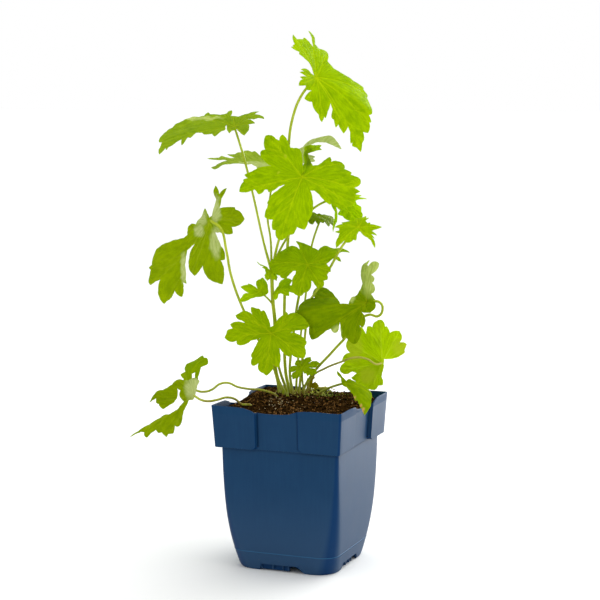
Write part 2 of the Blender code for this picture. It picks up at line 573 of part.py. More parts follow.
                (-117, 145.5), (-111, 153), (-114, 156), (-115.5, 160), (-114.5, 163.5), (-117.5, 165.5),
                (-117, 161), (-119.5, 153.5), (-124.5, 150), (-131, 145.5), (-133.5, 147.5),
                (-135, 150.5), (-137.5, 152), (-137.5, 156), (-141, 154), (-144, 152), (-139, 160),
                (-135, 163.5), (-131, 164), (-127, 166), (-122.5, 169), (-116.5, 174), (-112, 173.5),
                (-107, 173), (-100.5, 175.5), (-96.5, 172.5), (-98.5, 168.5), (-99.5, 164),
            ]),
        ],
    ),
    "leaf_left_low_far": (
        [
            (1.3, 0.9, [
                (-22, 18, 140), (-22, 18, 153), (-35, 18, 160), (-52, 18, 162), (-61, 17, 164),
                (-70, 16, 168), (-78, 15, 167), (-85, 14, 162), (-92, 13, 160), (-100, 14, 161),
                (-108, 14, 167),
            ]),
        ],
        [
            ((-108, 14, 167), [
                ((-92, 24, 191), 8, 3),
                ((-110, 30, 183), 8, 2),
                ((-116, 32, 173), 6, 1),
            ], [
                (-104.5, 164.5), (-103, 169.5), (-103.5, 174.5), (-103.5, 179.5), (-100, 181),
                (-100.5, 176.5), (-100.5, 171.5), (-98, 172.5), (-98, 176.5), (-96, 181), (-94.5, 185.5),
                (-89, 188.5), (-88, 191.5), (-89, 194.5), (-91.5, 194.5), (-93, 197), (-98.5, 194),
                (-105, 190), (-109, 188), (-110.5, 184.5), (-109.5, 182), (-114, 178.5), (-111, 174.5),
                (-112, 169.5), (-108, 163),
            ]),
        ],
    ),
    "leaf_withered": (
        [
            (1.1, 0.8, [(11, 35, 140), (11, 35, 154), (9, 34, 160), (9, 33, 163)]),
        ],
        [
            ((9, 33, 163), [
                ((17, 28, 163), 4, 1),
                ((12, 34, 176), 4, 2),
                ((6, 38, 169), 4, 1),
            ], [
            ]),
        ],
    ),
}


def clear_scene():
    for obj in list(bpy.data.objects):
        bpy.data.objects.remove(obj)


def finish(name, color, roughness):
    """A Principled material in one colour."""
    made = bpy.data.materials.new(name)
    made.use_nodes = True
    shader = made.node_tree.nodes["Principled BSDF"]
    shader.inputs["Base Color"].default_value = color
    shader.inputs["Roughness"].default_value = roughness
    return made


def new_object(name, bm, material, collection=None):
    mesh = bpy.data.meshes.new(name)
    bm.to_mesh(mesh)
    bm.free()
    mesh.materials.append(material)
    obj = bpy.data.objects.new(name, mesh)
    (collection or bpy.context.scene.collection).objects.link(obj)
    return obj


def largest_body(bm):
    """Deletes all but the largest connected body: scraps, and the skins of hollows that fusing sealed."""
    left = set(bm.verts)
    bodies = []
    while left:
        body = set()
        reached = [left.pop()]
        while reached:
            vert = reached.pop()
            body.add(vert)
            for edge in vert.link_edges:
                other = edge.other_vert(vert)
                if other in left:
                    left.remove(other)
                    reached.append(other)
        bodies.append(body)
    bodies.sort(key=len)
    for body in bodies[:-1]:
        bmesh.ops.delete(bm, geom=list(body), context="VERTS")


def apply_boolean(obj, operation, others, solver="EXACT"):
    """Joins or cuts the object with every object of a collection, which is then removed.

    The pot's thin shell and the soil's shallow faces need the manifold solver: the exact one leaves them open.
    """
    modifier = obj.modifiers.new(operation, "BOOLEAN")
    modifier.operation = operation
    modifier.operand_type = "COLLECTION"
    modifier.collection = others
    modifier.solver = solver
    bpy.context.view_layer.update()
    graph = bpy.context.evaluated_depsgraph_get()
    bm = bmesh.new()
    bm.from_mesh(bpy.data.meshes.new_from_object(obj.evaluated_get(graph)))
    obj.modifiers.clear()
    largest_body(bm)
    bmesh.ops.remove_doubles(bm, verts=bm.verts, dist=1e-6)
    bmesh.ops.dissolve_degenerate(bm, edges=bm.edges, dist=1e-6)
    bmesh.ops.triangulate(bm, faces=bm.faces)
    bm.to_mesh(obj.data)
    bm.free()
    for other in list(others.objects):
        bpy.data.objects.remove(other)
    bpy.data.collections.remove(others)


def helper_collection(name):
    made = bpy.data.collections.new(name)
    bpy.context.scene.collection.children.link(made)
    return made


# The pot

def side_stations(half, radius, inset, collar):
    """Places along one side from its faint corner to its strong one, how far each stands out, and its dip."""
    reach = half - radius
    grown = {"strong": STRONG_PANEL_HALF_MM - COLLAR_HALF_MM, "faint": FAINT_PANEL_HALF_MM - COLLAR_HALF_MM}
    stations = []
    for place, dip in ((-reach, 0.0),) + RIM_DIP_MM + ((reach, 0.0),):
        out = 0.0
        at = place
        if place > STRONG_PANEL_EDGE_MM - 2 * PANEL_STEP_MM:
            at += inset
        elif place <= FAINT_PANEL_EDGE_MM:
            at -= inset
        if collar and place >= STRONG_PANEL_EDGE_MM:
            out = grown["strong"]
        elif collar and place < FAINT_PANEL_EDGE_MM:
            out = grown["faint"]
        if abs(place) == reach:
            at = math.copysign(reach + out, place)
        stations.append((at, out - inset, dip))
    return stations


def pot_ring(half, radius, inset=0.0, collar=False, height=None, rim=None):
    """One closed ring of points round the pot. The sides run from the near-left corner, anticlockwise."""
    points = []
    for side in range(4):
        stations = side_stations(half, radius, inset, collar)
        faint_first = side % 2 == 1
        if not faint_first:
            stations = [(-at, out, dip) for at, out, dip in reversed(stations)]
        for at, out, dip in stations:
            points.append((side, at, half + out, (rim - dip) if rim else height))
        end_out = stations[-1][1] + inset
        corner = Vector((half + end_out - radius, -(half + end_out - radius)))
        bend = max(radius - inset, SHARPEST_CORNER_MM)
        for step in range(1, CORNER_STEPS):
            angle = math.radians(90 * step / CORNER_STEPS - 90)
            spot = corner + bend * Vector((math.cos(angle), math.sin(angle)))
            points.append((side, spot.x, -spot.y, rim or height))
    ring = []
    for side, along, out, up in points:
        turn = Matrix.Rotation(math.radians(90 * side), 3, "Z")
        ring.append((turn @ Vector((along, -out, up))) * MM)
    return ring


def skin_rings(bm, rings):
    """Joins rings of equal length with bands of faces and returns their vertices."""
    rows = [[bm.verts.new(spot) for spot in ring] for ring in rings]
    for low, high in zip(rows, rows[1:]):
        for here in range(len(low)):
            after = (here + 1) % len(low)
            bm.faces.new((low[here], low[after], high[after], high[here]))
    return rows


def close_ring(bm, row, middle, facing_up):
    center = bm.verts.new(middle)
    for here in range(len(row)):
        after = (here + 1) % len(row)
        corners = (row[here], row[after], center) if facing_up else (row[after], row[here], center)
        bm.faces.new(corners)


def collar_half(height):
    """The collar's plain half width, which grows towards the rim."""
    share = (POT_HEIGHT_MM - height) / (POT_HEIGHT_MM - COLLAR_BOTTOM_MM)
    return COLLAR_HALF_MM - COLLAR_TAPER_MM * share


def inner_rings(inset, lowest, top_ring):
    """The rings of the pot's hollow, or of what fills it, from the floor up."""
    rings = [pot_ring(FLOOR_HALF_MM, FLOOR_CORNER_MM, inset, height=lowest)]
    for height, half, radius in BODY_LEVELS_MM[2:-1]:
        rings.append(pot_ring(half, radius, inset, height=height))
    ledge = COLLAR_BOTTOM_MM + inset
    rings.append(pot_ring(BODY_LEVELS_MM[-1][1], BODY_LEVELS_MM[-1][2], inset, height=ledge))
    rings.append(pot_ring(collar_half(ledge), COLLAR_CORNER_MM, inset, collar=True, height=ledge))
    rings.append(top_ring)
    return rings


def make_pot(material):
    outer = [pot_ring(half, radius, height=height) for height, half, radius in BODY_LEVELS_MM]
    low_half = collar_half(COLLAR_BOTTOM_MM)
    outer.append(pot_ring(low_half, COLLAR_CORNER_MM, collar=True, height=COLLAR_BOTTOM_MM))
    outer.append(pot_ring(COLLAR_HALF_MM, COLLAR_CORNER_MM, collar=True, rim=POT_HEIGHT_MM))
    rim = pot_ring(COLLAR_HALF_MM, COLLAR_CORNER_MM, POT_WALL_MM, collar=True, rim=POT_HEIGHT_MM)
    hollow = inner_rings(POT_WALL_MM, FLOOR_TOP_MM, rim)
    under = [
        pot_ring(BODY_LEVELS_MM[0][1], BODY_LEVELS_MM[0][2], SKIRT_MM, height=FLOOR_UNDERSIDE_MM),
        pot_ring(BODY_LEVELS_MM[0][1], BODY_LEVELS_MM[0][2], SKIRT_MM, height=0.0),
    ]
    bm = bmesh.new()
    rows = skin_rings(bm, under + outer + hollow[::-1])
    close_ring(bm, rows[0], (0, 0, FLOOR_UNDERSIDE_MM * MM), facing_up=False)
    close_ring(bm, rows[-1], (0, 0, FLOOR_TOP_MM * MM), facing_up=True)
    pot = new_object("pot", bm, material)
    finish_foot(pot)
    return pot


def add_box(name, size, spot, material, collection):
    bm = bmesh.new()
    bmesh.ops.create_cube(bm, size=1.0, matrix=Matrix.Translation(spot) @ Matrix.Diagonal((*size, 1.0)))
    return new_object(name, bm, material, collection)


def finish_foot(pot):
    """Adds the middle pad that it stands on, cuts a notch in each side of the foot, and four drain holes."""
    material = pot.data.materials[0]
    pads = helper_collection("foot pads")
    pad = 2 * FOOT_PAD_HALF_MM * MM
    tall = (FLOOR_UNDERSIDE_MM + FLOOR_TOP_MM) / 2 * MM
    add_box("foot pad", (pad, pad, tall), (0, 0, tall / 2), material, pads)
    apply_boolean(pot, "UNION", pads, "MANIFOLD")
    cutters = helper_collection("foot cutters")
    notch_size = Vector((FOOT_NOTCH_WIDTH_MM, 2 * FOOT_NOTCH_DEPTH_MM, CUTTER_TALL_MM)) * MM
    notch_spot = Vector((0, -BODY_LEVELS_MM[1][1], FOOT_NOTCH_HEIGHT_MM - CUTTER_TALL_MM / 2)) * MM
    for side in range(4):
        turn = Matrix.Rotation(math.radians(90 * side), 4, "Z")
        notch = add_box("notch", notch_size, notch_spot, material, cutters)
        notch.data.transform(turn)
        drain = add_drain(material, cutters)
        drain.data.transform(turn @ Matrix.Translation((DRAIN_PLACE_MM * MM, DRAIN_PLACE_MM * MM, 0)))
    apply_boolean(pot, "DIFFERENCE", cutters, "MANIFOLD")


def add_drain(material, collection):
    bm = bmesh.new()
    radius = DRAIN_RADIUS_MM * MM
    tall = CUTTER_TALL_MM * MM
    bmesh.ops.create_cone(bm, cap_ends=True, segments=DRAIN_SIDES, radius1=radius, radius2=radius, depth=tall)
    return new_object("drain", bm, material, collection)


# The soil

def soil_height(spot, draw):
    """Metres: the soil rises from the rim to a low mound round the stems, with small lumps."""
    crown = from_picture(CROWN_MM)
    away = (Vector((spot.x, spot.y)) - Vector((crown.x, crown.y))).length / (CROWN_SPREAD_MM * MM)
    rise = (crown.z - SOIL_EDGE_MM * MM) * math.exp(-away * away)
    return SOIL_EDGE_MM * MM + rise + draw.uniform(-1, 1) * SOIL_LUMP_MM * MM


def make_soil(material):
    draw = random.Random(SEED)
    inset = POT_WALL_MM + FIT_GAP_MM
    loose = inset + SOIL_LOOSE_MM
    top = pot_ring(collar_half(SOIL_EDGE_MM), COLLAR_CORNER_MM, loose, collar=True, height=SOIL_EDGE_MM)
    rings = inner_rings(inset, FLOOR_TOP_MM + FIT_GAP_MM, top)
    bm = bmesh.new()
    rows = skin_rings(bm, rings)
    close_ring(bm, rows[0], (0, 0, (FLOOR_TOP_MM + FIT_GAP_MM) * MM), facing_up=False)
    # The next row in starts at the second point, so that it keeps the point beside each strong panel's step.
    edge = rows[-1][1:] + rows[-1][:1]
    widest = STRONG_PANEL_HALF_MM * MM
    first = []
    for vert in edge[::2]:
        first.append(Vector([at * (1 - SOIL_FIRST_RING_IN * (at / widest) ** 2) for at in vert.co.xy]))
    for share in SOIL_RINGS:
        spots = [Vector((*(spot * share), 0)) for spot in first]
        for spot in spots:
            spot.z = soil_height(spot, draw)
        row = [bm.verts.new(spot) for spot in spots]
        join_rows(bm, edge, row)
        edge = row
    middle = Vector((0, 0, 0))
    middle.z = soil_height(middle, draw)
    close_ring(bm, edge, middle, facing_up=True)
    bmesh.ops.triangulate(bm, faces=bm.faces)
    return new_object("soil", bm, material)


def join_rows(bm, outer, inner):
    """Faces between a row and the next one in, which has as many points or half as many."""
    ratio = len(outer) // len(inner)
    for here in range(len(inner)):
        after = (here + 1) % len(inner)
        first = here * ratio
        for step in range(ratio):
            low = outer[first + step]
            high = outer[(first + step + 1) % len(outer)]
            bm.faces.new((low, high, inner[here]))
        bm.faces.new((outer[(first + ratio) % len(outer)], inner[after], inner[here]))


def cut_stem_holes(soil, holes):
    """Plain holes for the stems, each wider than its stem by the fit gap."""
    apply_boolean(soil, "DIFFERENCE", holes, "MANIFOLD")


# The plant

def from_picture(spot):
    """A place given across, back and up in the picture, in millimetres, in the pot's frame in metres."""
    across, back, up = spot
    turn = Matrix.Rotation(math.radians(PICTURE_TURN_DEG), 3, "Z")
    return (turn @ Vector((across, back, up))) * MM


def sight_of(spot):
    """Where the viewer sees a place, on the upright plane through the pot's middle: across and up, millimetres."""
    turn = Matrix.Rotation(math.radians(-PICTURE_TURN_DEG), 3, "Z")
    across, back, up = (turn @ spot) / MM
    share = EYE_MM[1] / (EYE_MM[1] - back)
    return Vector((EYE_MM[0] + (across - EYE_MM[0]) * share, EYE_MM[2] + (up - EYE_MM[2]) * share))


def make_stalk(name, stalk, material, collection, wider=0.0):
    """A stem or leaf stalk: a round tube that thins from its foot to its top along a smooth route."""
    foot, top, route = stalk
    curve = bpy.data.curves.new(name, "CURVE")
    curve.dimensions = "3D"
    curve.bevel_depth = MM
    curve.bevel_resolution = STALK_ROUNDNESS
    curve.resolution_u = STALK_STEPS
    curve.use_fill_caps = True
    spline = curve.splines.new("BEZIER")
    spline.bezier_points.add(len(route) - 1)
    for number, (point, spot) in enumerate(zip(spline.bezier_points, route)):
        point.co = from_picture(spot)
        point.handle_left_type = "AUTO"
        point.handle_right_type = "AUTO"
        point.radius = foot + (top - foot) * number / (len(route) - 1) + wider
    if wider:
        spline.bezier_points[0].co.z -= wider * MM
    guide = bpy.data.objects.new(name, curve)
    bpy.context.scene.collection.objects.link(guide)
    graph = bpy.context.evaluated_depsgraph_get()
    bm = bmesh.new()
    bm.from_mesh(bpy.data.meshes.new_from_object(guide.evaluated_get(graph)))
    bpy.data.objects.remove(guide)
    bmesh.ops.remove_doubles(bm, verts=bm.verts, dist=1e-6)
    bmesh.ops.recalc_face_normals(bm, faces=bm.faces)
    return new_object(name, bm, material, collection)


class Lobe:
    """One lobe of a leaf: where it points, how long and wide it is, and how it arches."""

    def __init__(self, hub, tip, half_width, arch):
        reach = from_picture(tip) - hub
        self.length = reach.length
        self.aim = reach.normalized()
        self.half_width = half_width * MM
        self.arch = arch * MM
        self.turn = 0.0
        self.normal = None


class Leaf:
    """A leaf laid out flat, lobe beside lobe, and the rule that carries each flat point to its place in space."""

    def __init__(self, hub, lobes, drawn, seed):
        self.hub = from_picture(hub)
        self.drawn = drawn
        self.draw = random.Random(seed)
        self.lobes = [Lobe(self.hub, *lobe) for lobe in lobes]
        between = [first.aim.cross(second.aim).normalized() for first, second in zip(self.lobes, self.lobes[1:])]
        for number, lobe in enumerate(self.lobes):
            beside = between[max(number - 1, 0) : number + 1]
            lobe.normal = sum(beside, Vector()).normalized()
            if number:
                before = self.lobes[number - 1]
                lobe.turn = before.turn + before.aim.angle(lobe.aim)
        self.squeeze = min(1.0, WIDEST_FAN / self.lobes[-1].turn)
        for lobe in self.lobes:
            lobe.turn *= self.squeeze
        self.sinus = math.pi * 2 - self.lobes[-1].turn

    def outline(self):
        """The leaf's edge, anticlockwise, as flat points: drawn by hand, or lobes with teeth."""
        if self.drawn:
            return self.lay_out(self.drawn)
        back = self.lobes[-1].turn + self.sinus / 2
        points = [Vector((math.cos(back), math.sin(back))) * BEHIND_HUB_MM * MM]
        for number, lobe in enumerate(self.lobes):
            for side in (-1, 1):
                points += self.lobe_edge(number, lobe, side)
            if number + 1 < len(self.lobes):
                after = self.lobes[number + 1]
                share = lobe.half_width / (lobe.half_width + after.half_width)
                angle = lobe.turn + (after.turn - lobe.turn) * share
                points.append(Vector((math.cos(angle), math.sin(angle))) * self.cut_reach(number))
        return points

    def lay_out(self, drawn):
        """Flat points of an edge drawn as the viewer sees it, on the upright plane through the pot's middle."""
        flat = []
        turn = 0.0
        for seen in drawn:
            aimed = Vector(seen)
            turn, reach = self.under_sight(aimed, turn)
            for _ in range(LAYING_ROUNDS):
                aimed += Vector(seen) - sight_of(self.place(Vector((math.cos(turn), math.sin(turn))) * reach))
                turn, reach = self.under_sight(aimed, turn)
            flat.append(Vector((math.cos(turn), math.sin(turn))) * reach)
        return flat

    def under_sight(self, seen, before):
        """The turn and reach, next to the turn before, where a line of sight meets a plane between two lobes."""
        eye = from_picture(EYE_MM)
        ray = from_picture((seen.x, 0.0, seen.y)) - eye
        found = []
        last = len(self.lobes) - 2
        for number, (lobe, after) in enumerate(zip(self.lobes, self.lobes[1:])):
            normal = lobe.aim.cross(after.aim).normalized()
            reach = eye + ray * (normal.dot(self.hub - eye) / normal.dot(ray)) - self.hub
            turn = math.atan2(normal.dot(lobe.aim.cross(reach)), lobe.aim.dot(reach)) * self.squeeze
            low = -self.sinus / 2 if number == 0 else 0.0
            high = after.turn - lobe.turn + (self.sinus / 2 if number == last else 0.0)
            off = max(low - turn, turn - high, 0.0)
            turn = max(low, min(high, turn)) + lobe.turn
            far = max(0.0, reach.length / max(lobe.length, after.length) - 1.0)
            found.append((OFF_PLANE_COST * (off + far) + abs(turn - before), turn, reach.length))
        return min(found)[1:]

    def cut_reach(self, number):
        """How far from the hub the cut after this lobe ends, or nothing at the leaf's open base."""
        if not 0 <= number < len(self.lobes) - 1:
            return 0.0
        lobe, after = self.lobes[number], self.lobes[number + 1]
        return SMALL_LEAF_CUT * min(lobe.length, after.length)

    def room(self, number, side):
        """The angle that a lobe may fill on one side before it would meet its neighbour."""
        other = number + side
        if 0 <= other < len(self.lobes):
            lobe, beside = self.lobes[number], self.lobes[other]
            gap = abs(beside.turn - lobe.turn)
            return gap * lobe.half_width / (lobe.half_width + beside.half_width)
        return self.sinus / 2

    def lobe_edge(self, number, lobe, side):
        """One side of a lobe, from its base to its tip for the first side and back again for the second."""
        basal = not 0 <= number + side < len(self.lobes)
        shape = (BASAL_EDGE if basal else ()) + SMALL_LOBE_EDGE
        room = self.room(number, side)
        least = self.cut_reach(number if side > 0 else number - 1) * CLEAR_OF_CUT
        edge = []
        for along, out in shape:
            along += self.draw.uniform(-1, 1) * ALONG_JITTER * (out > 0)
            out *= 1 + self.draw.uniform(-1, 1) * OUT_JITTER
            span = along * lobe.length
            wide = min(out * lobe.half_width, span * math.tan(min(room * ROOM_SHARE, WIDEST_ROOM)))
            if math.hypot(span, wide) > least or out == 0:
                edge.append(self.flat(lobe, span, side * wide))
        return edge if side < 0 else edge[-2::-1]

    def flat(self, lobe, span, wide):
        """The flat point this far along the lobe's middle line and this far beside it."""
        ahead = Vector((math.cos(lobe.turn), math.sin(lobe.turn)))
        return ahead * span + Vector((-ahead.y, ahead.x)) * wide

    def inner_points(self):
        """Points inside the outline that let the blade arch and droop."""
        points = [Vector((0.0, 0.0))]
        for lobe in self.lobes:
            for share in MIDLINE_SHARES:
                points.append(self.flat(lobe, lobe.length * share, 0.0))
        return points

    def place(self, point):
        """Where a flat point lies in space: on a fan of straight lines from the hub, arched between hub and tip."""
        reach = point.length
        if reach < 1e-9:
            return self.hub.copy()
        turn = math.atan2(point.y, point.x) % (2 * math.pi)
        if turn > self.lobes[-1].turn + self.sinus / 2:
            turn -= 2 * math.pi
        if turn <= 0 or turn >= self.lobes[-1].turn:
            lobe = self.lobes[0] if turn <= 0 else self.lobes[-1]
            swing = Matrix.Rotation((turn - lobe.turn) / self.squeeze, 3, lobe.normal)
            aim, normal, length, arch = swing @ lobe.aim, lobe.normal, lobe.length, lobe.arch
            near = lobe
        else:
            number = max(n for n, lobe in enumerate(self.lobes[:-1]) if lobe.turn <= turn)
            lobe, after = self.lobes[number], self.lobes[number + 1]
            share = (turn - lobe.turn) / (after.turn - lobe.turn)
            aim = lobe.aim.slerp(after.aim, share)
            eased = share * share * (3 - 2 * share)
            normal = lobe.normal.lerp(after.normal, eased).normalized()
            length = lobe.length + (after.length - lobe.length) * eased
            arch = lobe.arch + (after.arch - lobe.arch) * eased
            split = lobe.half_width / (lobe.half_width + after.half_width)
            near = lobe if share < split else after
        beside = abs(turn - near.turn)
        half = near.half_width
        along = min(reach / length, 1.0)
        rise = arch * 4 * along * (1 - along)
        across = min(abs(math.sin(beside)) * reach / half, 1.0)
        droop = LOBE_DROOP * half * across * across * along
        return self.hub + aim * reach + normal * (rise - droop)


def inside(point, outline, margin):
    """Whether a flat point is inside the outline and at least the margin away from it."""
    odd = False
    for here, after in zip(outline, outline[1:] + outline[:1]):
        if (here.y > point.y) != (after.y > point.y):
            cross = here.x + (point.y - here.y) * (after.x - here.x) / (after.y - here.y)
            odd ^= point.x < cross
        edge = after - here
        share = max(0.0, min(1.0, (point - here).dot(edge) / edge.length_squared))
        if (here + edge * share - point).length < margin:
            return False
    return odd


def make_blade(name, leaf, material, collection):
    """The leaf's blade as a thin closed solid, its upper and lower skins split into triangles alike."""
    outline = leaf.outline()
    points = outline + [spot for spot in leaf.inner_points() if inside(spot, outline, EDGE_CLEAR_MM * MM)]
    flat, _, faces, _, _, _ = delaunay_2d_cdt(
        [spot / MM for spot in points], [], [list(range(len(outline)))], 1, 1e-4
    )
    places = [leaf.place(spot * MM) for spot in flat]
    normals = [Vector() for _ in places]
    for face in faces:
        a, b, c = (places[corner] for corner in face)
        for corner in face:
            normals[corner] += (b - a).cross(c - a)
    half = BLADE_MM / 2 * MM
    bm = bmesh.new()
    upper = [bm.verts.new(spot + way.normalized() * half) for spot, way in zip(places, normals)]
    lower = [bm.verts.new(spot - way.normalized() * half) for spot, way in zip(places, normals)]
    for a, b, c in faces:
        bm.faces.new((upper[a], upper[b], upper[c]))
        bm.faces.new((lower[c], lower[b], lower[a]))
    for edge in [edge for edge in bm.edges if edge.is_boundary and edge.verts[0] in set(upper)]:
        loop = edge.link_loops[0]
        a, b = loop.vert, loop.link_loop_next.vert
        low_a, low_b = lower[upper.index(a)], lower[upper.index(b)]
        bm.faces.new((b, a, low_a))
        bm.faces.new((b, low_a, low_b))
    return new_object(name, bm, material, collection)


def make_shoot(name, stalks, leaves, material, holes, first_seed):
    """A leafy stem, or a single leaf on its own stalk, fused into one body, and the hole it needs in the soil."""
    parts = helper_collection(name + " parts")
    body = make_stalk(name, stalks[0], material, None)
    for number, stalk in enumerate(stalks[1:]):
        make_stalk(f"{name} stalk {number}", stalk, material, parts)
    for number, (hub, lobes, drawn) in enumerate(leaves):
        leaf = Leaf(hub, lobes, drawn, first_seed + number)
        make_blade(f"{name} blade {number}", leaf, material, parts)
    apply_boolean(body, "UNION", parts)
    make_stalk(name + " hole", stalks[0], material, holes, wider=STEM_HOLE_GAP_MM)
    return body


def main():
    clear_scene()
    pot = make_pot(finish("pot_plastic", POT_BLUE, 0.42))
    soil = make_soil(finish("soil", SOIL_BROWN, 0.95))
    holes = helper_collection("stem holes")
    greens = {
        "leaf_right_dark": finish("leaf_dark", DARK_LEAF_GREEN, 0.5),
        "leaf_withered": finish("leaf_withered", WITHERED_YELLOW, 0.7),
    }
    leaf_green = finish("leaf", LEAF_GREEN, 0.5)
    for number, (name, (stalks, leaves)) in enumerate(PLANT.items()):
        make_shoot(name, stalks, leaves, greens.get(name, leaf_green), holes, SEED + 10 * number)
    cut_stem_holes(soil, holes)
    for obj in (pot, soil):
        obj.data.shade_smooth()
        obj.data.set_sharp_from_angle(angle=math.radians(30))


main()
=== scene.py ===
# %% [markdown]
# # A young delphinium in a square nursery pot
#
# The real thing is a garden plant that isn't in flower yet: two slender shoots and a dozen leaves on
# their own stalks, in peat, in a navy blue plastic pot. The CAD part gives the places and the outlines.
# This lesson makes the finer pieces that are shown in its stead: pot, peat, stalks and leaves, each with
# its finish.

# %% Load the CAD part
import math
import random

import bmesh
import bpy
import numpy as np
from mathutils import Matrix, Vector, noise
from mathutils.geometry import delaunay_2d_cdt


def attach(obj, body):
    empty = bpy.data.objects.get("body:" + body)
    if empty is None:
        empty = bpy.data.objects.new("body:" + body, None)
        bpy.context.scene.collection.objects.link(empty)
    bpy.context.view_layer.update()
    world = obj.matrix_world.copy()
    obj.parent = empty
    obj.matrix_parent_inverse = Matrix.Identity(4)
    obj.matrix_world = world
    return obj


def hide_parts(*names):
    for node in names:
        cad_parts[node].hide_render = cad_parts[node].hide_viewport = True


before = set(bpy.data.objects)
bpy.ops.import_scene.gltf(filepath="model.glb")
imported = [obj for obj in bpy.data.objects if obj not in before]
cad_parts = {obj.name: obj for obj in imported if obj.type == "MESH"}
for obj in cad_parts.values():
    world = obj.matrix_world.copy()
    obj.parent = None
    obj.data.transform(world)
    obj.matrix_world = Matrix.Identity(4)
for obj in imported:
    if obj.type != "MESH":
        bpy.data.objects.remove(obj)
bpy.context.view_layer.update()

bpy.ops.object.select_all(action="DESELECT")
print("CAD nodes:", ", ".join(sorted(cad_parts)))

# %% [markdown]
# ## Measures
#
# All lengths here are millimetres, as on a drawing, and MM turns them into Blender's metres. The pot's
# measures are those of the CAD part, so that the finer pot lies on the plain one.

# %% Measures of the pot and the peat
MM = 0.001
SEED = 20
PICTURE_TURN_DEG = 21.3
POT_HEIGHT = 156.2
POT_WALL = 1.4
FIT_GAP = 0.35
COLLAR_BOTTOM = 116.5
COLLAR_HALF = 61.0
COLLAR_TAPER = 2.4
COLLAR_CORNER = 2.9
# Each collar panel: where its inner edge is, measured from the side's middle, how proud it stands, and
# how far its step is spread. The strong panels are at the left and right corners, the faint ones at the
# near and far corners.
STRONG_PANEL = (20.2, 4.0, 0.7)
FAINT_PANEL = (19.4, 1.6, 1.2)
PANEL_ROUNDING = 4.2
# The body below the collar: height, half width between flats, corner radius.
BODY_LEVELS = (
    (0.0, 48.5, 20.0),
    (5.0, 50.0, 19.0),
    (17.5, 52.4, 16.5),
    (34.0, 54.8, 13.5),
    (55.0, 56.6, 10.0),
    (85.0, 57.5, 6.0),
    (COLLAR_BOTTOM, 57.9, 4.0),
)
# Where along a side the rim is, from the faint panel to the strong one, and how far it dips there.
RIM_DIP = ((-50.0, 0.6), (-40.0, 0.3), (-28.0, 0.6), (-22.0, 1.2), (-17.0, 2.6), (-12.0, 4.3), (-6.0, 5.2),
           (6.0, 5.6), (15.0, 5.4), (20.9, 4.7), (24.4, 3.1), (28.4, 1.5), (33.0, 0.6), (50.0, 0.2))
# The peat's height at the wall, the top of its mound (across, back and up in the picture) and its spread.
SOIL_EDGE = 148.6
CROWN = (-8.0, 27.0, 155.4)
CROWN_SPREAD = 34.0
print(f"pot {2 * (COLLAR_HALF + STRONG_PANEL[1]):.0f} mm wide at the rim and {POT_HEIGHT} mm tall")


# %% [markdown]
# ## Maths on sockets
#
# A material's pattern is a sum, like any other. By hand one would add Math nodes and pull wires between
# them. Wire holds one socket and turns + - * and powers into those nodes, so a pattern can be written as
# one line. Finish is a material on the bench: its node method adds any other node.

# %% Numbers on wires
class Wire:
    """A socket that can be used like a number."""

    def __init__(self, finish, socket):
        self.finish = finish
        self.socket = socket

    def maths(self, operation, *values):
        return self.finish.node("ShaderNodeMath", {"operation": operation}, list(values))

    def __add__(self, other):
        return self.maths("ADD", self, other)

    def __sub__(self, other):
        return self.maths("SUBTRACT", self, other)

    def __rsub__(self, other):
        return self.maths("SUBTRACT", other, self)

    def __mul__(self, other):
        return self.maths("MULTIPLY", self, other)

    def __pow__(self, other):
        return self.maths("POWER", self, other)

    def __abs__(self):
        return self.maths("ABSOLUTE", self)

    __radd__ = __add__
    __rmul__ = __mul__


print("wires can be added, subtracted, multiplied and raised to a power")


# %% A material on the bench
class Finish:
    """A material being made: its Principled shader, and one method that adds any other node."""

    def __init__(self, name, **fixed):
        self.material = bpy.data.materials.new(name)
        self.material.use_nodes = True
        self.tree = self.material.node_tree
        self.shader = self.tree.nodes["Principled BSDF"]
        for socket, value in fixed.items():
            self.shader.inputs[socket.replace("_", " ")].default_value = value

    def node(self, kind, settings=None, values=None, output=0):
        """A new node with its settings made first, then the values or links of its sockets."""
        made = self.tree.nodes.new(kind)
        for name, value in (settings or {}).items():
            setattr(made, name, value)
        pairs = values.items() if isinstance(values, dict) else enumerate(values or [])
        for socket, value in pairs:
            if isinstance(value, Wire):
                self.tree.links.new(value.socket, made.inputs[socket])
            else:
                made.inputs[socket].default_value = value
        return Wire(self, made.outputs[output])

    def mix(self, share, first, second):
        """The first colour where the share is 0 and the second where it is 1."""
        colours = {"data_type": "RGBA", "clamp_factor": True}
        return self.node("ShaderNodeMix", colours, {0: share, 6: first, 7: second}, output=2)

    def between(self, value, low, high):
        """0 below low, 1 above high and smooth between them."""
        settings = {"interpolation_type": "SMOOTHSTEP"}
        return self.node("ShaderNodeMapRange", settings, {0: value, 1: low, 2: high, 3: 0.0, 4: 1.0})

    def speckle(self, where, scale, detail=3.0, roughness=0.55):
        """Noise from 0 to 1. Its scale is how many lumps there are to a metre."""
        values = {"Vector": where, "Scale": scale, "Detail": detail, "Roughness": roughness}
        return self.node("ShaderNodeTexNoise", {}, values)

    def marked(self, name):
        """A number that was written on the mesh's points under this name."""
        return self.node("ShaderNodeAttribute", {"attribute_name": name}, output=2)

    def place(self):
        """Object coordinates, in metres, and their height."""
        where = self.node("ShaderNodeTexCoord", output=3)
        height = self.node("ShaderNodeSeparateXYZ", {}, [where], output=2)
        return where, height

    def wear(self, socket, value):
        """Feeds one socket of the shader."""
        self.tree.links.new(value.socket, self.shader.inputs[socket])

    def bump(self, height, depth_mm, strength=1.0):
        """Fine relief from a height pattern."""
        values = {"Height": height, "Distance": depth_mm * MM, "Strength": strength}
        self.wear("Normal", self.node("ShaderNodeBump", {}, values))


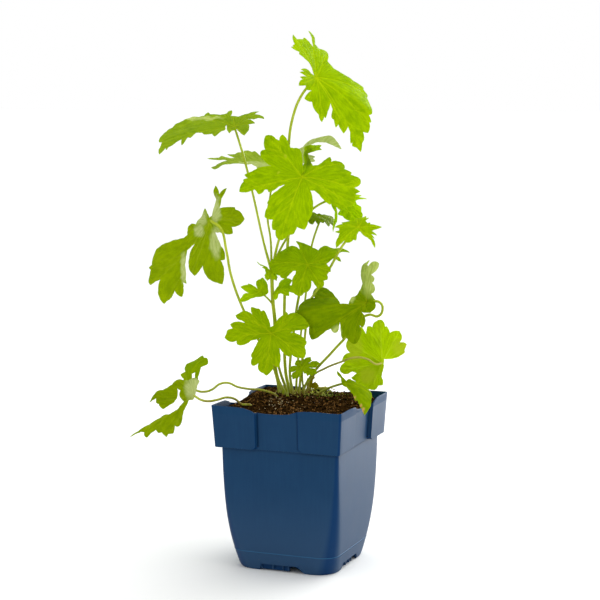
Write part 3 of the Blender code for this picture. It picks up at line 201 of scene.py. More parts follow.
print("on the bench:", ", ".join(name for name in vars(Finish) if name[0] != "_"))


# %% Colours
def colour(red, green, blue):
    """A colour as it looks on a screen, 0 to 255, as the linear values that a shader takes."""
    shares = [value / 255 for value in (red, green, blue)]
    linear = [share / 12.92 if share < 0.04 else ((share + 0.055) / 1.055) ** 2.4 for share in shares]
    return (*linear, 1.0)


print("sage as a shader sees it:", [round(value, 3) for value in colour(130, 150, 90)])

# %% [markdown]
# ## The pot's shell
#
# The real pot is moulded in one thin wall. By hand one would start from a circle, extrude it upwards ring
# by ring, fold it over at the rim, and go down again on the inside. That happens here too: each ring's
# points know their station round the pot, and are moved to that station's place after each extrude.

# %% Curves that the pot's rings follow
def smooth_table(table, at, column=1):
    """A value read from a table of rows with a smooth curve through them."""
    if at <= table[0][0]:
        return table[0][column]
    if at >= table[-1][0]:
        return table[-1][column]
    here = max(number for number, row in enumerate(table[:-1]) if row[0] <= at)

    def slope(number):
        low, high = table[max(number - 1, 0)], table[min(number + 1, len(table) - 1)]
        return (high[column] - low[column]) / (high[0] - low[0])

    span = table[here + 1][0] - table[here][0]
    t = (at - table[here][0]) / span
    low, high = table[here][column], table[here + 1][column]
    return (
        low * (1 + 2 * t) * (1 - t) ** 2
        + span * slope(here) * t * (1 - t) ** 2
        + high * t * t * (3 - 2 * t)
        + span * slope(here + 1) * t * t * (t - 1)
    )


def soft_step(value):
    """0 up to 0, 1 from 1 on, and smooth between them."""
    value = max(0.0, min(1.0, value))
    return value * value * (3 - 2 * value)


def panel_stand(along, height):
    """How proud of the plain collar a place stands: along is positive towards the strong panel."""
    edge, proud, spread = STRONG_PANEL if along > 0 else FAINT_PANEL
    up = height - COLLAR_BOTTOM
    if up < PANEL_ROUNDING:
        edge += PANEL_ROUNDING - math.sqrt(max(PANEL_ROUNDING**2 - (PANEL_ROUNDING - up) ** 2, 0.0))
    return proud * soft_step((abs(along) - edge) / spread)


print("the rim dips", round(smooth_table(RIM_DIP, 0.0), 2), "mm in the middle of a side")

# %% Stations round the pot
# Along a side the stations stand at fixed places up to FIXED_REACH from its middle, and closest together
# at the panels' edges. Beyond it each is a share of what is left before the corner.
FIXED_REACH = 26.0
PANEL_EDGES_FROM = 16.0
OUTER_SHARES = (0.2, 0.45, 0.75, 1.0)
CORNER_STEPS = 8
SHARPEST_CORNER = 0.5


def side_places():
    """Each station's fixed place, and its share of what is left near a corner."""
    fine = list(np.arange(PANEL_EDGES_FROM, FIXED_REACH + 0.01, 0.5))
    inner = [-place for place in reversed(fine)] + list(np.arange(-15.0, 15.1, 2.5)) + fine
    before = [(-FIXED_REACH, share) for share in reversed(OUTER_SHARES)]
    return before + [(place, 0.0) for place in inner] + [(FIXED_REACH, share) for share in OUTER_SHARES]


SIDE_PLACES = side_places()
STATIONS = 4 * (len(SIDE_PLACES) + CORNER_STEPS - 1)
print(STATIONS, "stations round the pot")


# %% One ring of points round the pot
def pot_ring(half, radius, inset=0.0, collar=False, height=None, rim_share=None):
    """Points round the pot in metres, at one height or at a share of the way up the collar.

    rim_share is that share, 0 at the collar's bottom and 1 at the dipping rim, and a lift from there.
    """
    ring = []
    reach = half - radius
    left = reach - FIXED_REACH
    for side in range(4):
        points = []
        for place, share in SIDE_PLACES:
            along = place + math.copysign(share * left, place)
            if rim_share is None:
                up = height
            else:
                top = POT_HEIGHT - smooth_table(RIM_DIP, along)
                up = COLLAR_BOTTOM + rim_share[0] * (top - COLLAR_BOTTOM) + rim_share[1]
            stand = panel_stand(along, up) if collar else 0.0
            at_end = abs(abs(along) - reach) < 1e-6
            shift = stand if at_end else max(0.0, (abs(along) - FIXED_REACH) / left) * stand
            points.append((along + math.copysign(shift, along), half + (stand - inset), up))
        if side % 2 == 0:
            points = [(-along, out, up) for along, out, up in reversed(points)]
        _, last_out, last_up = points[-1]
        center = half + (last_out - half + inset) - radius
        bend = max(radius - inset, SHARPEST_CORNER)
        for step in range(1, CORNER_STEPS):
            angle = math.radians(90 * step / CORNER_STEPS - 90)
            points.append((center + bend * math.cos(angle), center - bend * math.sin(angle), last_up))
        turn = Matrix.Rotation(math.radians(90 * side), 3, "Z")
        ring += [(turn @ Vector((along, -out, up))) * MM for along, out, up in points]
    return ring


def body_ring(height, inset=0.0):
    """A ring of the body below the collar."""
    half = smooth_table(BODY_LEVELS, height, 1)
    radius = smooth_table(BODY_LEVELS, height, 2)
    return pot_ring(half, radius, inset, height=height)


def collar_ring(share, inset=0.0, lift=0.0):
    """A ring of the collar, which widens from its bottom, share 0, to its rim, share 1."""
    half = COLLAR_HALF - COLLAR_TAPER * (1 - share)
    return pot_ring(half, COLLAR_CORNER, inset, collar=True, rim_share=(share, lift))


print("ring at the rim:", len(collar_ring(1.0)), "points")


# %% Extruding a circle ring by ring
def use_only(obj):
    """Selects this object alone and makes it the active one."""
    bpy.ops.object.select_all(action="DESELECT")
    obj.select_set(True)
    bpy.context.view_layer.objects.active = obj


def face_outwards():
    """In edit mode, turns all faces outwards, and then leaves edit mode."""
    bpy.ops.mesh.select_mode(type="VERT")
    bpy.ops.mesh.select_all(action="SELECT")
    bpy.ops.mesh.normals_make_consistent(inside=False)
    bpy.ops.object.mode_set(mode="OBJECT")


def close_end():
    """Closes a hole whose edge is selected with a fan of faces."""
    bpy.ops.mesh.extrude_region_move()
    bpy.ops.mesh.merge(type="CENTER")


def extrude_rings(name, rings):
    """A circle extruded through all these rings and closed at both ends."""
    bpy.ops.mesh.primitive_circle_add(vertices=len(rings[0]), radius=0.05)
    obj = bpy.context.object
    obj.name = name
    station = obj.data.attributes.new("station", "INT", "POINT")
    station.data.foreach_set("value", list(range(len(rings[0]))))
    bpy.ops.object.mode_set(mode="EDIT")
    bpy.ops.mesh.select_all(action="SELECT")
    for number, ring in enumerate(rings):
        if number:
            bpy.ops.mesh.extrude_region_move()
        bm = bmesh.from_edit_mesh(obj.data)
        layer = bm.verts.layers.int["station"]
        for vert in bm.verts:
            if vert.select:
                vert.co = ring[vert[layer]]
    close_end()
    bpy.ops.mesh.select_all(action="DESELECT")
    bpy.ops.mesh.select_mode(type="EDGE")
    bm = bmesh.from_edit_mesh(obj.data)
    for edge in bm.edges:
        edge.select = edge.is_boundary
    close_end()
    face_outwards()
    obj.data.attributes.remove(obj.data.attributes["station"])
    return obj


print("each extrude moves", STATIONS, "points")

# %% The shell
FOOT_SKIRT = 2.4
FLOOR_UNDERSIDE = 3.8
FLOOR_TOP = 8.0
# How the foot's lower edge and the collar's edges are rounded, and the fine bead of the mould line.
FOOT_EDGE = ((0.4, FOOT_SKIRT), (0.0, FOOT_SKIRT - 0.4), (0.0, 0.6), (0.2, 0.2), (0.8, 0.0))
EDGE_ROUNDING = ((0.5, 0.0), (0.15, 0.12), (0.0, 0.45))
MOULD_LINE = ((16.9, 0.0), (17.2, -0.22), (17.8, -0.22), (18.1, 0.0))
# The heights of the plain rings: foot, side, and inside on the way down.
FOOT_LEVELS = (2.5, 5.0, 8.5, 12.0, 15.0)
SIDE_LEVELS = (22, 28, 34, 41, 48, 55, 65, 75, 85, 96, 107, 113.5, 114.8, 116.0)
INNER_LEVELS = (100, 80, 60, 40, 20, FLOOR_TOP)
# The collar's rings as shares of its height: outside on the way up, inside on the way down.
COLLAR_SHARES = (0.03, 0.055, 0.08, 0.105, 0.14, 0.2, 0.3, 0.45, 0.6, 0.75, 0.88, 0.95)
COLLAR_INNER_SHARES = (0.95, 0.85, 0.7, 0.5, 0.3, 0.15, 0.06)
# Half width and corner radius where the collar's inside meets the body's.
THROAT = (58.2, 4.0)


def pot_rings():
    """From the floor's underside, round the foot, up the outside, over the rim and down to the floor."""
    rings = [body_ring(FLOOR_UNDERSIDE, FOOT_SKIRT)]
    rings += [body_ring(height, inset) for height, inset in FOOT_EDGE]
    rings += [body_ring(height) for height in FOOT_LEVELS]
    rings += [body_ring(height, inset) for height, inset in MOULD_LINE]
    rings += [body_ring(height) for height in SIDE_LEVELS]
    rings += [collar_ring(0.0, inset, lift) for inset, lift in EDGE_ROUNDING]
    rings += [collar_ring(share) for share in COLLAR_SHARES]
    rings += [collar_ring(1.0, inset, -lift) for inset, lift in reversed(EDGE_ROUNDING)]
    rings += [collar_ring(1.0, POT_WALL - inset, -lift) for inset, lift in EDGE_ROUNDING]
    rings += [collar_ring(share, POT_WALL) for share in COLLAR_INNER_SHARES]
    rings.append(pot_ring(*THROAT, POT_WALL, height=COLLAR_BOTTOM + POT_WALL))
    rings += [body_ring(height, POT_WALL) for height in INNER_LEVELS]
    return rings


pot = extrude_rings("pot_shell", pot_rings())
print("pot shell:", len(pot.data.polygons), "faces")

# %% [markdown]
# ## The pot's foot
#
# Under each side the foot has an arch with small ribs behind it, so that water can run out of four holes.
# Boolean modifiers are simpler here than cutting faces by hand: they take these forms out of the shell and
# join bevelled blocks to it as ribs and as the middle pad.

# %% Blocks and drills for the foot
# The arch under each side: its width at the ground and at its top, how far in it goes, and its height.
ARCH = (46.0, 36.5, 7.0, 6.4)
ARCH_INNER_FACE = -45.4
ARCH_LEAN = 2.6
# Size and place, on the near side, of a slot that can be seen through, of a low wall behind the arch and
# of the ribs on it, with each rib's place and width.
SLOT = ((5.8, 26.0, 7.6), (10.2, -40.0, 2.8))
ARCH_WALL = ((28.5, 1.8, 6.0), (-7.4, -45.9, 3.9))
RIB_DEPTH, RIB_HEIGHT = 2.4, 5.4
RIB_BACK, RIB_UP = -47.4, 4.1
RIBS = ((-21.0, 1.2), (-9.5, 1.4), (0.5, 1.0), (6.0, 1.2))
MIDDLE_PAD = ((24.0, 24.0, 5.2), (0.0, 0.0, 2.6))
DRAIN_RADIUS = 4.0
DRAIN_PLACE = 27.0
DRILL_LENGTH = 30.0


def turned(degrees):
    """A turn about the pot's middle."""
    return Matrix.Rotation(math.radians(degrees), 4, "Z")


def block(size, spot, turn_deg=0.0, bevel=0.0):
    """A cube at its size and place in millimetres, bevelled, and turned about the pot's middle."""
    bpy.ops.mesh.primitive_cube_add(size=1.0)
    made = bpy.context.object
    stretch = Matrix.Diagonal((*[side * MM for side in size], 1.0))
    made.data.transform(Matrix.Translation(Vector(spot) * MM) @ stretch)
    if bevel:
        bpy.ops.object.mode_set(mode="EDIT")
        bpy.ops.mesh.select_all(action="SELECT")
        bpy.ops.mesh.bevel(offset=bevel * MM, segments=2, affect="EDGES")
        bpy.ops.object.mode_set(mode="OBJECT")
    made.data.transform(turned(turn_deg))
    return made


def arch_block(turn_deg):
    """The block that cuts an arch: its sides lean inwards, more so towards the near end."""
    ground, top, deep, high = ARCH
    made = block((ground, deep, high + 1.0), (0.0, ARCH_INNER_FACE - deep / 2, high / 2 - 0.5))
    for vert in made.data.vertices:
        if vert.co.z > 0:
            vert.co.x *= top / ground
            vert.co.x -= ARCH_LEAN * MM
    made.data.transform(turned(turn_deg))
    return made


def drill(turn_deg):
    """A rod that cuts one drain hole."""
    bpy.ops.mesh.primitive_cylinder_add(vertices=28, radius=DRAIN_RADIUS * MM, depth=DRILL_LENGTH * MM)
    made = bpy.context.object
    made.data.transform(Matrix.Translation((DRAIN_PLACE * MM, DRAIN_PLACE * MM, 0)))
    made.data.transform(turned(turn_deg))
    return made


print("arch:", ARCH[0], "mm wide at the ground and", ARCH[3], "mm high")


# %% Cutting the foot
def carve(obj, tool, operation):
    """Applies one Boolean with the tool, which is then removed."""
    use_only(obj)
    modifier = obj.modifiers.new("carve", "BOOLEAN")
    modifier.object = tool
    modifier.operation = operation
    modifier.solver = "MANIFOLD"
    bpy.ops.object.modifier_apply(modifier=modifier.name)
    bpy.data.objects.remove(tool)


carve(pot, block(*MIDDLE_PAD, bevel=0.6), "UNION")
for turn in (0, 90, 180, 270):
    carve(pot, arch_block(turn), "DIFFERENCE")
    carve(pot, block(*SLOT, turn), "DIFFERENCE")
    carve(pot, drill(turn), "DIFFERENCE")
    carve(pot, block(*ARCH_WALL, turn), "UNION")
    for along, wide in RIBS:
        rib = block((wide, RIB_DEPTH, RIB_HEIGHT), (along, RIB_BACK, RIB_UP), turn, bevel=0.2)
        carve(pot, rib, "UNION")
print("pot with its foot:", len(pot.data.polygons), "faces")

# %% [markdown]
# ## The pot's plastic
#
# Navy polypropylene with a satin skin: even in colour, with very faint upright flow marks. Painted light
# and shade are added to it: lighter towards the ground, a painted reflection of the pale floor; deeper blue
# round the corners, painted shade; a lighter line along the mould line's bead, a painted highlight; and
# painted shade beside each panel's step and under the collar's ledge. Peat dust lies near the foot. Two
# numbers are written on the mesh first, because the painted shade beside a step and round a corner follows
# the shape.

# %% Shade and corners, written on the pot's points
# The shade beside a panel's step: how far out its middle is, how wide it is and how deep.
STRONG_GROOVE = (0.5, 1.0, 1.0)
FAINT_GROOVE = (0.4, 2.0, 0.45)
# The shade under the collar's ledge: how deep it is and how far down it goes.
LEDGE_SHADE = (0.6, 3.0)


def groove_shade(along, up):
    """How deep a place sits in the shade of a panel's step or of the collar's ledge, 0 to 1."""
    if up <= COLLAR_BOTTOM - 0.2:
        deep, far = LEDGE_SHADE
        return max(deep * (1 - (COLLAR_BOTTOM - up) / far), 0.0)
    if up <= COLLAR_BOTTOM + PANEL_ROUNDING * 0.5:
        return 0.0
    steps = ((STRONG_PANEL[0] - along, STRONG_GROOVE), (FAINT_PANEL[0] + along, FAINT_GROOVE))
    return max(0.0, *(deep - abs(beside - middle) / wide for beside, (middle, wide, deep) in steps))


def write_on(mesh, name, values):
    """Writes a number on each point of a mesh."""
    mesh.attributes.new(name, "FLOAT", "POINT").data.foreach_set("value", values)


def mark_pot(obj):
    """Writes on each point how deep in painted shade it is, and how far round a corner, where painted shade
    deepens the blue.
    """
    grooves, corners = [], []
    for vert in obj.data.vertices:
        x, y, up = vert.co / MM
        along = (-x if y < 0 else x) if abs(y) > abs(x) else (y if x > 0 else -y)
        grooves.append(groove_shade(along, up))
        level = vert.normal.to_2d()
        bend = 2 * abs(level.x * level.y) / max(level.length_squared, 0.01)
        corners.append(min(max((bend - 0.55) / 0.35, 0.0), 1.0))
    write_on(obj.data, "groove", grooves)
    write_on(obj.data, "corner", corners)
    print(sum(map(bool, grooves)), "points in shade,", sum(map(bool, corners)), "on corners")


mark_pot(pot)

# %% Navy plastic
POT_DEEP = colour(20, 56, 90)
POT_BLUE = colour(27, 64, 100)
# Painted shade round the corners.
POT_CORNER_SHADE = colour(0, 48, 94)
POT_SHADE = colour(2, 22, 44)
# Painted reflection of the pale floor, lighter towards the ground.
POT_FLOOR_REFLECTION = colour(48, 76, 108)
# Lighter blue for the flow marks and for the mould line's painted highlight.
POT_FLOW_AND_HIGHLIGHT = colour(52, 104, 144)
DUST = colour(120, 105, 80)
MOULD_HEIGHT = 17.5


def make_plastic():
    plastic = Finish("navy plastic", IOR=1.47, Specular_IOR_Level=0.08)
    where, height = plastic.place()
    stretched = plastic.node("ShaderNodeMapping", {}, {"Vector": where, "Scale": (1.0, 1.0, 0.06)})
    flow = plastic.speckle(stretched, 420.0, 2.0)
    cloud = plastic.speckle(where, 34.0, 4.0)
    dust = plastic.between(plastic.speckle(where, 260.0, 5.0, 0.7), 0.62, 0.74)
    low = 1 - plastic.between(height, 0.0, 0.03)
    blue = plastic.mix(cloud, POT_DEEP, POT_BLUE)
    blue = plastic.mix(plastic.between(flow, 0.35, 0.75) * 0.04, blue, POT_FLOW_AND_HIGHLIGHT)
    # Lighter towards the ground: a painted reflection of the pale floor.
    blue = plastic.mix((1 - plastic.between(height, 0.005, 0.095)) * 0.75, blue, POT_FLOOR_REFLECTION)
    # Deeper blue round the corners: painted shade.
    blue = plastic.mix(plastic.marked("corner") * 0.8, blue, POT_CORNER_SHADE)
    from_line = abs(height - MOULD_HEIGHT * MM)
    # A lighter line along the mould line's bead: a painted highlight.
    mould_highlight = 1 - plastic.between(from_line, 0.0001, 0.0006)
    blue = plastic.mix(mould_highlight * 0.7, blue, POT_FLOW_AND_HIGHLIGHT)
    blue = plastic.mix(dust * low * 0.35, blue, DUST)
    blue = plastic.mix(plastic.marked("groove") * 0.75, blue, POT_SHADE)
    plastic.wear("Base Color", blue)
    bead = 1 - plastic.between(from_line, 0.0006, 0.0012)
    rim = plastic.between(height, 0.1478, 0.1492)
    plastic.wear("Roughness", 0.34 + cloud * 0.12 + dust * 0.1 + bead * 0.25 + rim * 0.3)
    plastic.bump(flow * 0.4 + plastic.speckle(where, 1500.0, 2.0) * 0.5, 0.02, 0.4)
    return plastic.material


pot_plastic = make_plastic()
print("nodes in", pot_plastic.name + ":", len(pot_plastic.node_tree.nodes))


# %% Handing a piece over
def finish_piece(obj, name, node, material=None, angle=40.0):
    """Names a finished piece, smooths it, gives it its finish and lets it stand for its CAD node."""
    obj.name = name
    if material is not None:
        obj.data.materials.clear()
        obj.data.materials.append(material)
    use_only(obj)
    bpy.ops.object.shade_smooth_by_angle(angle=math.radians(angle))
    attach(obj, "root")
    if node:
        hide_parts(node)
    bpy.ops.object.select_all(action="DESELECT")
    print(f"{name}: {sum(len(face.vertices) - 2 for face in obj.data.polygons)} triangles")


finish_piece(pot, "navy_pot", "pot", pot_plastic, 35.0)

# %% [markdown]
# ## Peat
#
# The pot is filled with peat that rises to a low mound round the stems. By hand one could sculpt it. Here
# its surface starts as a grid, whose points are moved to the pot's inner outline and lifted into lumps,
# because noise gives the same lumps on each run. Its border is then extruded down to the floor, because a
# solid has to be closed.

# %% The peat's surface
SOIL_LOOSE = 0.15
SOIL_INSET = POT_WALL + FIT_GAP + SOIL_LOOSE
SOIL_GRID = 150
# Lumps of the surface: size and height.
LUMPS = ((11.0, 1.1), (4.5, 1.1), (2.2, 0.8), (1.0, 0.35))
# The peat is heaped towards the back, but not in the left and right corners: how high it gets, where it
# starts to rise and over what way, and how far to each side it starts to fade and over what way.
HEAP = 4.6
HEAP_RISE = (-55.0, 95.0)
HEAP_FADE = (46.0, 30.0)


def from_picture(spot):
    """A place given across, back and up in the picture, in millimetres, in the pot's frame in metres."""
    across, back, up = spot
    turn = Matrix.Rotation(math.radians(PICTURE_TURN_DEG), 3, "Z")
    return (turn @ Vector((across, back, up))) * MM


def outline_reach(ring):
    """How far a ring reaches from the middle, in each direction."""
    turns = [math.atan2(spot.y, spot.x) for spot in ring]
    reaches = [spot.xy.length for spot in ring]
    order = np.argsort(turns)
    turns, reaches = np.array(turns)[order], np.array(reaches)[order]
    return lambda x, y: float(np.interp(math.atan2(y, x), turns, reaches, period=2 * math.pi))


def soil_height(x, y):
    """The peat's surface in metres, with its heap and its mound but not its lumps."""
    turn = math.radians(PICTURE_TURN_DEG)
    across = (x * math.cos(turn) + y * math.sin(turn)) / MM
    back = (y * math.cos(turn) - x * math.sin(turn)) / MM
    rise = HEAP * soft_step((back - HEAP_RISE[0]) / HEAP_RISE[1])
    rise *= 1 - soft_step((abs(across) - HEAP_FADE[0]) / HEAP_FADE[1])
    away = math.hypot(across - CROWN[0], back - CROWN[1]) / CROWN_SPREAD
    return (SOIL_EDGE + rise + (CROWN[2] - SOIL_EDGE - HEAP) * math.exp(-away * away)) * MM


def lumpy_height(x, y, calm=1.0):
    """The peat's surface with its lumps, which are lower where it is calm."""
    rise = soil_height(x, y)
    for number, (size, high) in enumerate(LUMPS):
        spot = Vector((x, y, 0.0)) / (size * MM) + Vector((7.3, 1.9, 3.1)) * number
        rise += high * MM * calm * noise.noise(spot)
    return rise


print("peat in the middle:", round(soil_height(0.0, 0.0) / MM, 1), "mm up")


# %% The peat's body
def make_soil():
    """The peat, and a rule that gives how far it reaches from the middle in each direction."""
    top_half = COLLAR_HALF - COLLAR_TAPER * (POT_HEIGHT - SOIL_EDGE) / (POT_HEIGHT - COLLAR_BOTTOM)
    edge = outline_reach(pot_ring(top_half, COLLAR_CORNER, SOIL_INSET, collar=True, height=SOIL_EDGE))
    bpy.ops.mesh.primitive_grid_add(x_subdivisions=SOIL_GRID, y_subdivisions=SOIL_GRID, size=2.0)
    soil = bpy.context.object
    for vert in soil.data.vertices:
        x, y = vert.co.x, vert.co.y
        square = max(abs(x), abs(y))
        if square == 0:
            vert.co.z = lumpy_height(0, 0)
            continue
        share = square * edge(x, y) / math.hypot(x, y)
        x, y = x * share, y * share
        vert.co = (x, y, lumpy_height(x, y, 1.0 - 0.6 * square**12))
    collar_foot = COLLAR_HALF - COLLAR_TAPER
    lower = [
        (COLLAR_BOTTOM + 3, pot_ring(collar_foot, COLLAR_CORNER, SOIL_INSET, True, COLLAR_BOTTOM + 3)),
        (COLLAR_BOTTOM + 2.2, pot_ring(*THROAT, SOIL_INSET, height=COLLAR_BOTTOM + 2.2)),
    ]
    lower += [(height, body_ring(height, SOIL_INSET)) for height in (85, 55, 34, 17.5, FLOOR_TOP + FIT_GAP)]
    use_only(soil)
    bpy.ops.object.mode_set(mode="EDIT")
    bpy.ops.mesh.select_mode(type="EDGE")
    bpy.ops.mesh.select_all(action="DESELECT")
    bm = bmesh.from_edit_mesh(soil.data)
    for rim in bm.edges:
        rim.select = rim.is_boundary
    for height, ring in lower:
        bpy.ops.mesh.extrude_region_move()
        reach = outline_reach(ring)
        bm = bmesh.from_edit_mesh(soil.data)
        for vert in bm.verts:
            if vert.select:
                far = reach(vert.co.x, vert.co.y) / vert.co.xy.length
                vert.co = (vert.co.x * far, vert.co.y * far, height * MM)
    close_end()
    face_outwards()
    return soil, edge


soil, soil_reach = make_soil()
print("peat:", len(soil.data.polygons), "faces")

# %% Peat's finish
PEAT_DARK = colour(22, 13, 4)
PEAT_BROWN = colour(50, 32, 12)
PEAT_TAN = colour(124, 90, 46)


def make_peat():
    """Matt dark brown with tan specks: peat has no gloss, so its specular level is 0."""
    peat = Finish("peat", Roughness=0.92, Specular_IOR_Level=0.0)
    where, _ = peat.place()
    coarse = peat.speckle(where, 130.0, 5.0, 0.65)
    fine = peat.speckle(where, 700.0, 4.0, 0.7)
    brown = peat.mix(peat.between(coarse, 0.34, 0.66), PEAT_DARK, PEAT_BROWN)
    brown = peat.mix(peat.between(fine, 0.52, 0.78) * 0.55, brown, PEAT_TAN)
    peat.wear("Base Color", brown)
    peat.bump(coarse + fine * 0.6, 0.8)
    return peat.material


finish_piece(soil, "peat", "soil", make_peat(), 50.0)

# %% [markdown]
# ## Crumbs, fibres and grit
#
# Loose bits give peat its look. One crumb is a low sphere pushed out of shape, one fibre is a thin bent
# rod and one grain of grit is a faceted chip. By hand one would scatter them with a particle system or
# with geometry nodes. Here each is modelled once and copied many times, turned and scaled by a seeded
# draw, so that every run gives the same peat.

# %% Models of the loose bits
def model_crumb(roundness, rough):
    """A low sphere of radius 1 that is pushed out of shape."""
    bpy.ops.mesh.primitive_ico_sphere_add(subdivisions=roundness, radius=1.0)
    made = bpy.context.object
    for vert in made.data.vertices:
        vert.co *= 1 + rough * noise.noise(vert.co * 1.7 + Vector((rough, 4.0, 1.0)))
    return made


def model_fibre():
    """A thin tapering rod with a bend, made by extruding a small circle."""
    bpy.ops.mesh.primitive_circle_add(vertices=4, radius=0.05, fill_type="NGON")
    made = bpy.context.object
    bpy.ops.object.mode_set(mode="EDIT")
    bpy.ops.mesh.select_all(action="SELECT")
    for step in range(5):
        bpy.ops.mesh.extrude_region_move(TRANSFORM_OT_translate={"value": (0.05 * step, 0.02 * step, 0.2)})
        bpy.ops.transform.resize(value=(0.86, 0.86, 0.86))
    face_outwards()
    return made


print("models: a crumb and a fibre")


# %% Copying a model
def link(name, data):
    """A new object in the scene with this mesh, light or camera."""
    made = bpy.data.objects.new(name, data)
    bpy.context.scene.collection.objects.link(made)
    return made


def scatter(name, model, places):
    """A copy of the model for each place, its spot, size and turn, as one object. The model is removed."""
    corners = np.array([vert.co for vert in model.data.vertices])
    faces = [tuple(face.vertices) for face in model.data.polygons]
    all_corners, all_faces = [], []
    for spot, size, turn in places:
        first = len(all_corners) * len(corners)
        placed = Matrix.LocRotScale(spot, turn, Vector(size) * MM)
        all_corners.append(corners @ np.array(placed.to_3x3()).T + np.array(spot))
        all_faces += [tuple(first + corner for corner in face) for face in faces]
    mesh = bpy.data.meshes.new(name)
    mesh.from_pydata(np.concatenate(all_corners).tolist(), [], all_faces)
    bpy.data.objects.remove(model)
    return link(name, mesh)


print("a thousand copies make one object")

# %% Places on the peat
draw = random.Random(SEED)
# Bits keep this far inside the peat's reach, as a share, so that none hangs over the rim.
INSIDE = 0.93


def on_soil(lift, spread=0.95):
    """A random spot on the peat."""
    turn = draw.uniform(0, 2 * math.pi)
    x, y = math.cos(turn), math.sin(turn)
    far = soil_reach(x, y) * spread * math.sqrt(draw.random())
    return Vector((x * far, y * far, lumpy_height(x * far, y * far) + lift * MM))


def near_spot(middle, spread, lift):
    """A random spot on the peat round a place given across and back in the picture."""
    across, back = (draw.gauss(place, wide * 0.5) for place, wide in zip(middle, spread))
    spot = from_picture((across, back, 0.0))
    inner = soil_reach(spot.x, spot.y) * INSIDE
    if spot.length > inner:
        spot *= inner / spot.length
    spot.z = lumpy_height(spot.x, spot.y) + lift * MM
    return spot


def any_turn():
    """A random turn about a random axis."""
    angle = draw.uniform(0, 6.28)
    return Matrix.Rotation(angle, 3, Vector([draw.gauss(0, 1) for _ in range(3)])).to_quaternion()


def lying_turn(steep=0.35):
    """A turn that lays a rod nearly flat."""
    tilt = math.pi / 2 + draw.uniform(-steep, steep)
    return (Matrix.Rotation(draw.uniform(0, 6.28), 3, "Z") @ Matrix.Rotation(tilt, 3, "X")).to_quaternion()


def crumb_places(count, low, high):
    """Spots, sizes and turns of crumbs: the larger a crumb, the further it stands out."""
    places = []
    for _ in range(count):
        size = draw.uniform(low, high)
        places.append((on_soil(0.15 * size), [size * draw.uniform(0.7, 1.2) for _ in range(3)], any_turn()))
    return places


print("seed of the draws:", SEED)


# %% Crumbs of peat
def two_tone(name, scale, first, second, specular=0.06, roughness=0.85, ends=None):
    """A matt finish that changes between two colours from spot to spot, more sharply between its ends."""
    finish = Finish(name, Roughness=roughness, Specular_IOR_Level=specular)
    where, _ = finish.place()
    share = finish.speckle(where, scale)
    if ends:
        share = finish.between(share, *ends)
    finish.wear("Base Color", finish.mix(share, first, second))
    return finish.material


crumb_brown = two_tone("peat crumbs", 240.0, PEAT_DARK, colour(136, 98, 54), 0.0, 0.9, (0.46, 0.62))
crumbs = scatter("crumbs", model_crumb(1, 0.8), crumb_places(900, 0.45, 1.35))
finish_piece(crumbs, "peat_crumbs", None, crumb_brown, 60.0)

# %% Fibres
fibre_brown = two_tone("peat fibre", 90.0, colour(44, 26, 10), colour(170, 124, 66))
fibres = scatter("fibres", model_fibre(), [
    (on_soil(draw.uniform(0.1, 0.9)), (draw.uniform(1.6, 3.6),) * 2 + (draw.uniform(2.0, 8.5),), lying_turn())
    for _ in range(420)
])
finish_piece(fibres, "peat_fibres", None, fibre_brown, 60.0)

# %% Pale grit
# Most of the grit lies in front of the stems: its middle and its spread, across and back.
GRIT_PATCH = ((-22.0, -2.0), (13.0, 22.0))
grit_pale = two_tone("pale grit", 400.0, colour(176, 150, 98), colour(228, 214, 176), 0.1, 0.8)
grains = scatter("grains", model_crumb(1, 0.5), [
    (on_soil(0.3, 0.85), [draw.uniform(0.3, 0.6) for _ in range(3)], any_turn()) for _ in range(26)
] + [
    (near_spot(*GRIT_PATCH, 0.4), [draw.uniform(0.3, 0.75) for _ in range(3)], any_turn()) for _ in range(34)
])
finish_piece(grains, "pale_grit", None, grit_pale, 30.0)

# %% [markdown]
# ## Moss
#
# Green and yellow-green moss grows between the stalks' feet and the back rim. Real moss is hundreds of tiny
# shoots, too small to see here, so it is made as the crumbs are: small cushions, paler where they stand up.

# %% Moss
# Each patch: its middle and its spread, across and back, how high its cushions lie, and their number.
MOSS_PATCHES = (((13.0, 36.0), (26.0, 24.0), 0.7, 190), ((20.0, 28.0), (10.0, 8.0), 0.9, 60),
                ((22.0, 60.0), (11.0, 6.0), 4.0, 240))
# Between these heights, in metres, the moss turns from green to yellow-green.
MOSS_TURNS = (0.1535, 0.158)


def make_moss():
    """Green, and yellow-green where the cushions stand up."""
    moss = Finish("moss", Roughness=0.9, Specular_IOR_Level=0.05)
    where, height = moss.place()
    height = height + 0.006 * moss.speckle(where, 260.0) - 0.003
    pale = moss.between(height, *MOSS_TURNS)
    moss.wear("Base Color", moss.mix(pale, colour(84, 104, 10), colour(206, 204, 96)))
    return moss.material


cushions = scatter("cushions", model_crumb(1, 0.8), [
    (near_spot(middle, spread, high * draw.random()), [draw.uniform(0.4, 1.1) for _ in range(3)], any_turn())
    for middle, spread, high, count in MOSS_PATCHES for _ in range(count)
])
finish_piece(cushions, "moss", None, make_moss(), 60.0)

# %% [markdown]
# ## The plant's table
#
# The real plant grows as it likes, so its form is a table of measures and no rule. Places are in
# millimetres: across to the right, back from the viewer and up, as seen in the picture. A stalk is its foot
# radius, top radius and route. A leaf is its hub, its lobes and its edge. The lobes go round anticlockwise
# as seen from the leaf's upper side: each lobe's tip, half width and arch. The edge goes across, up, across,
# up and so on, where its points appear on the upright plane through the pot's middle. A small leaf's edge
# is left empty, and is made of lobes with teeth.

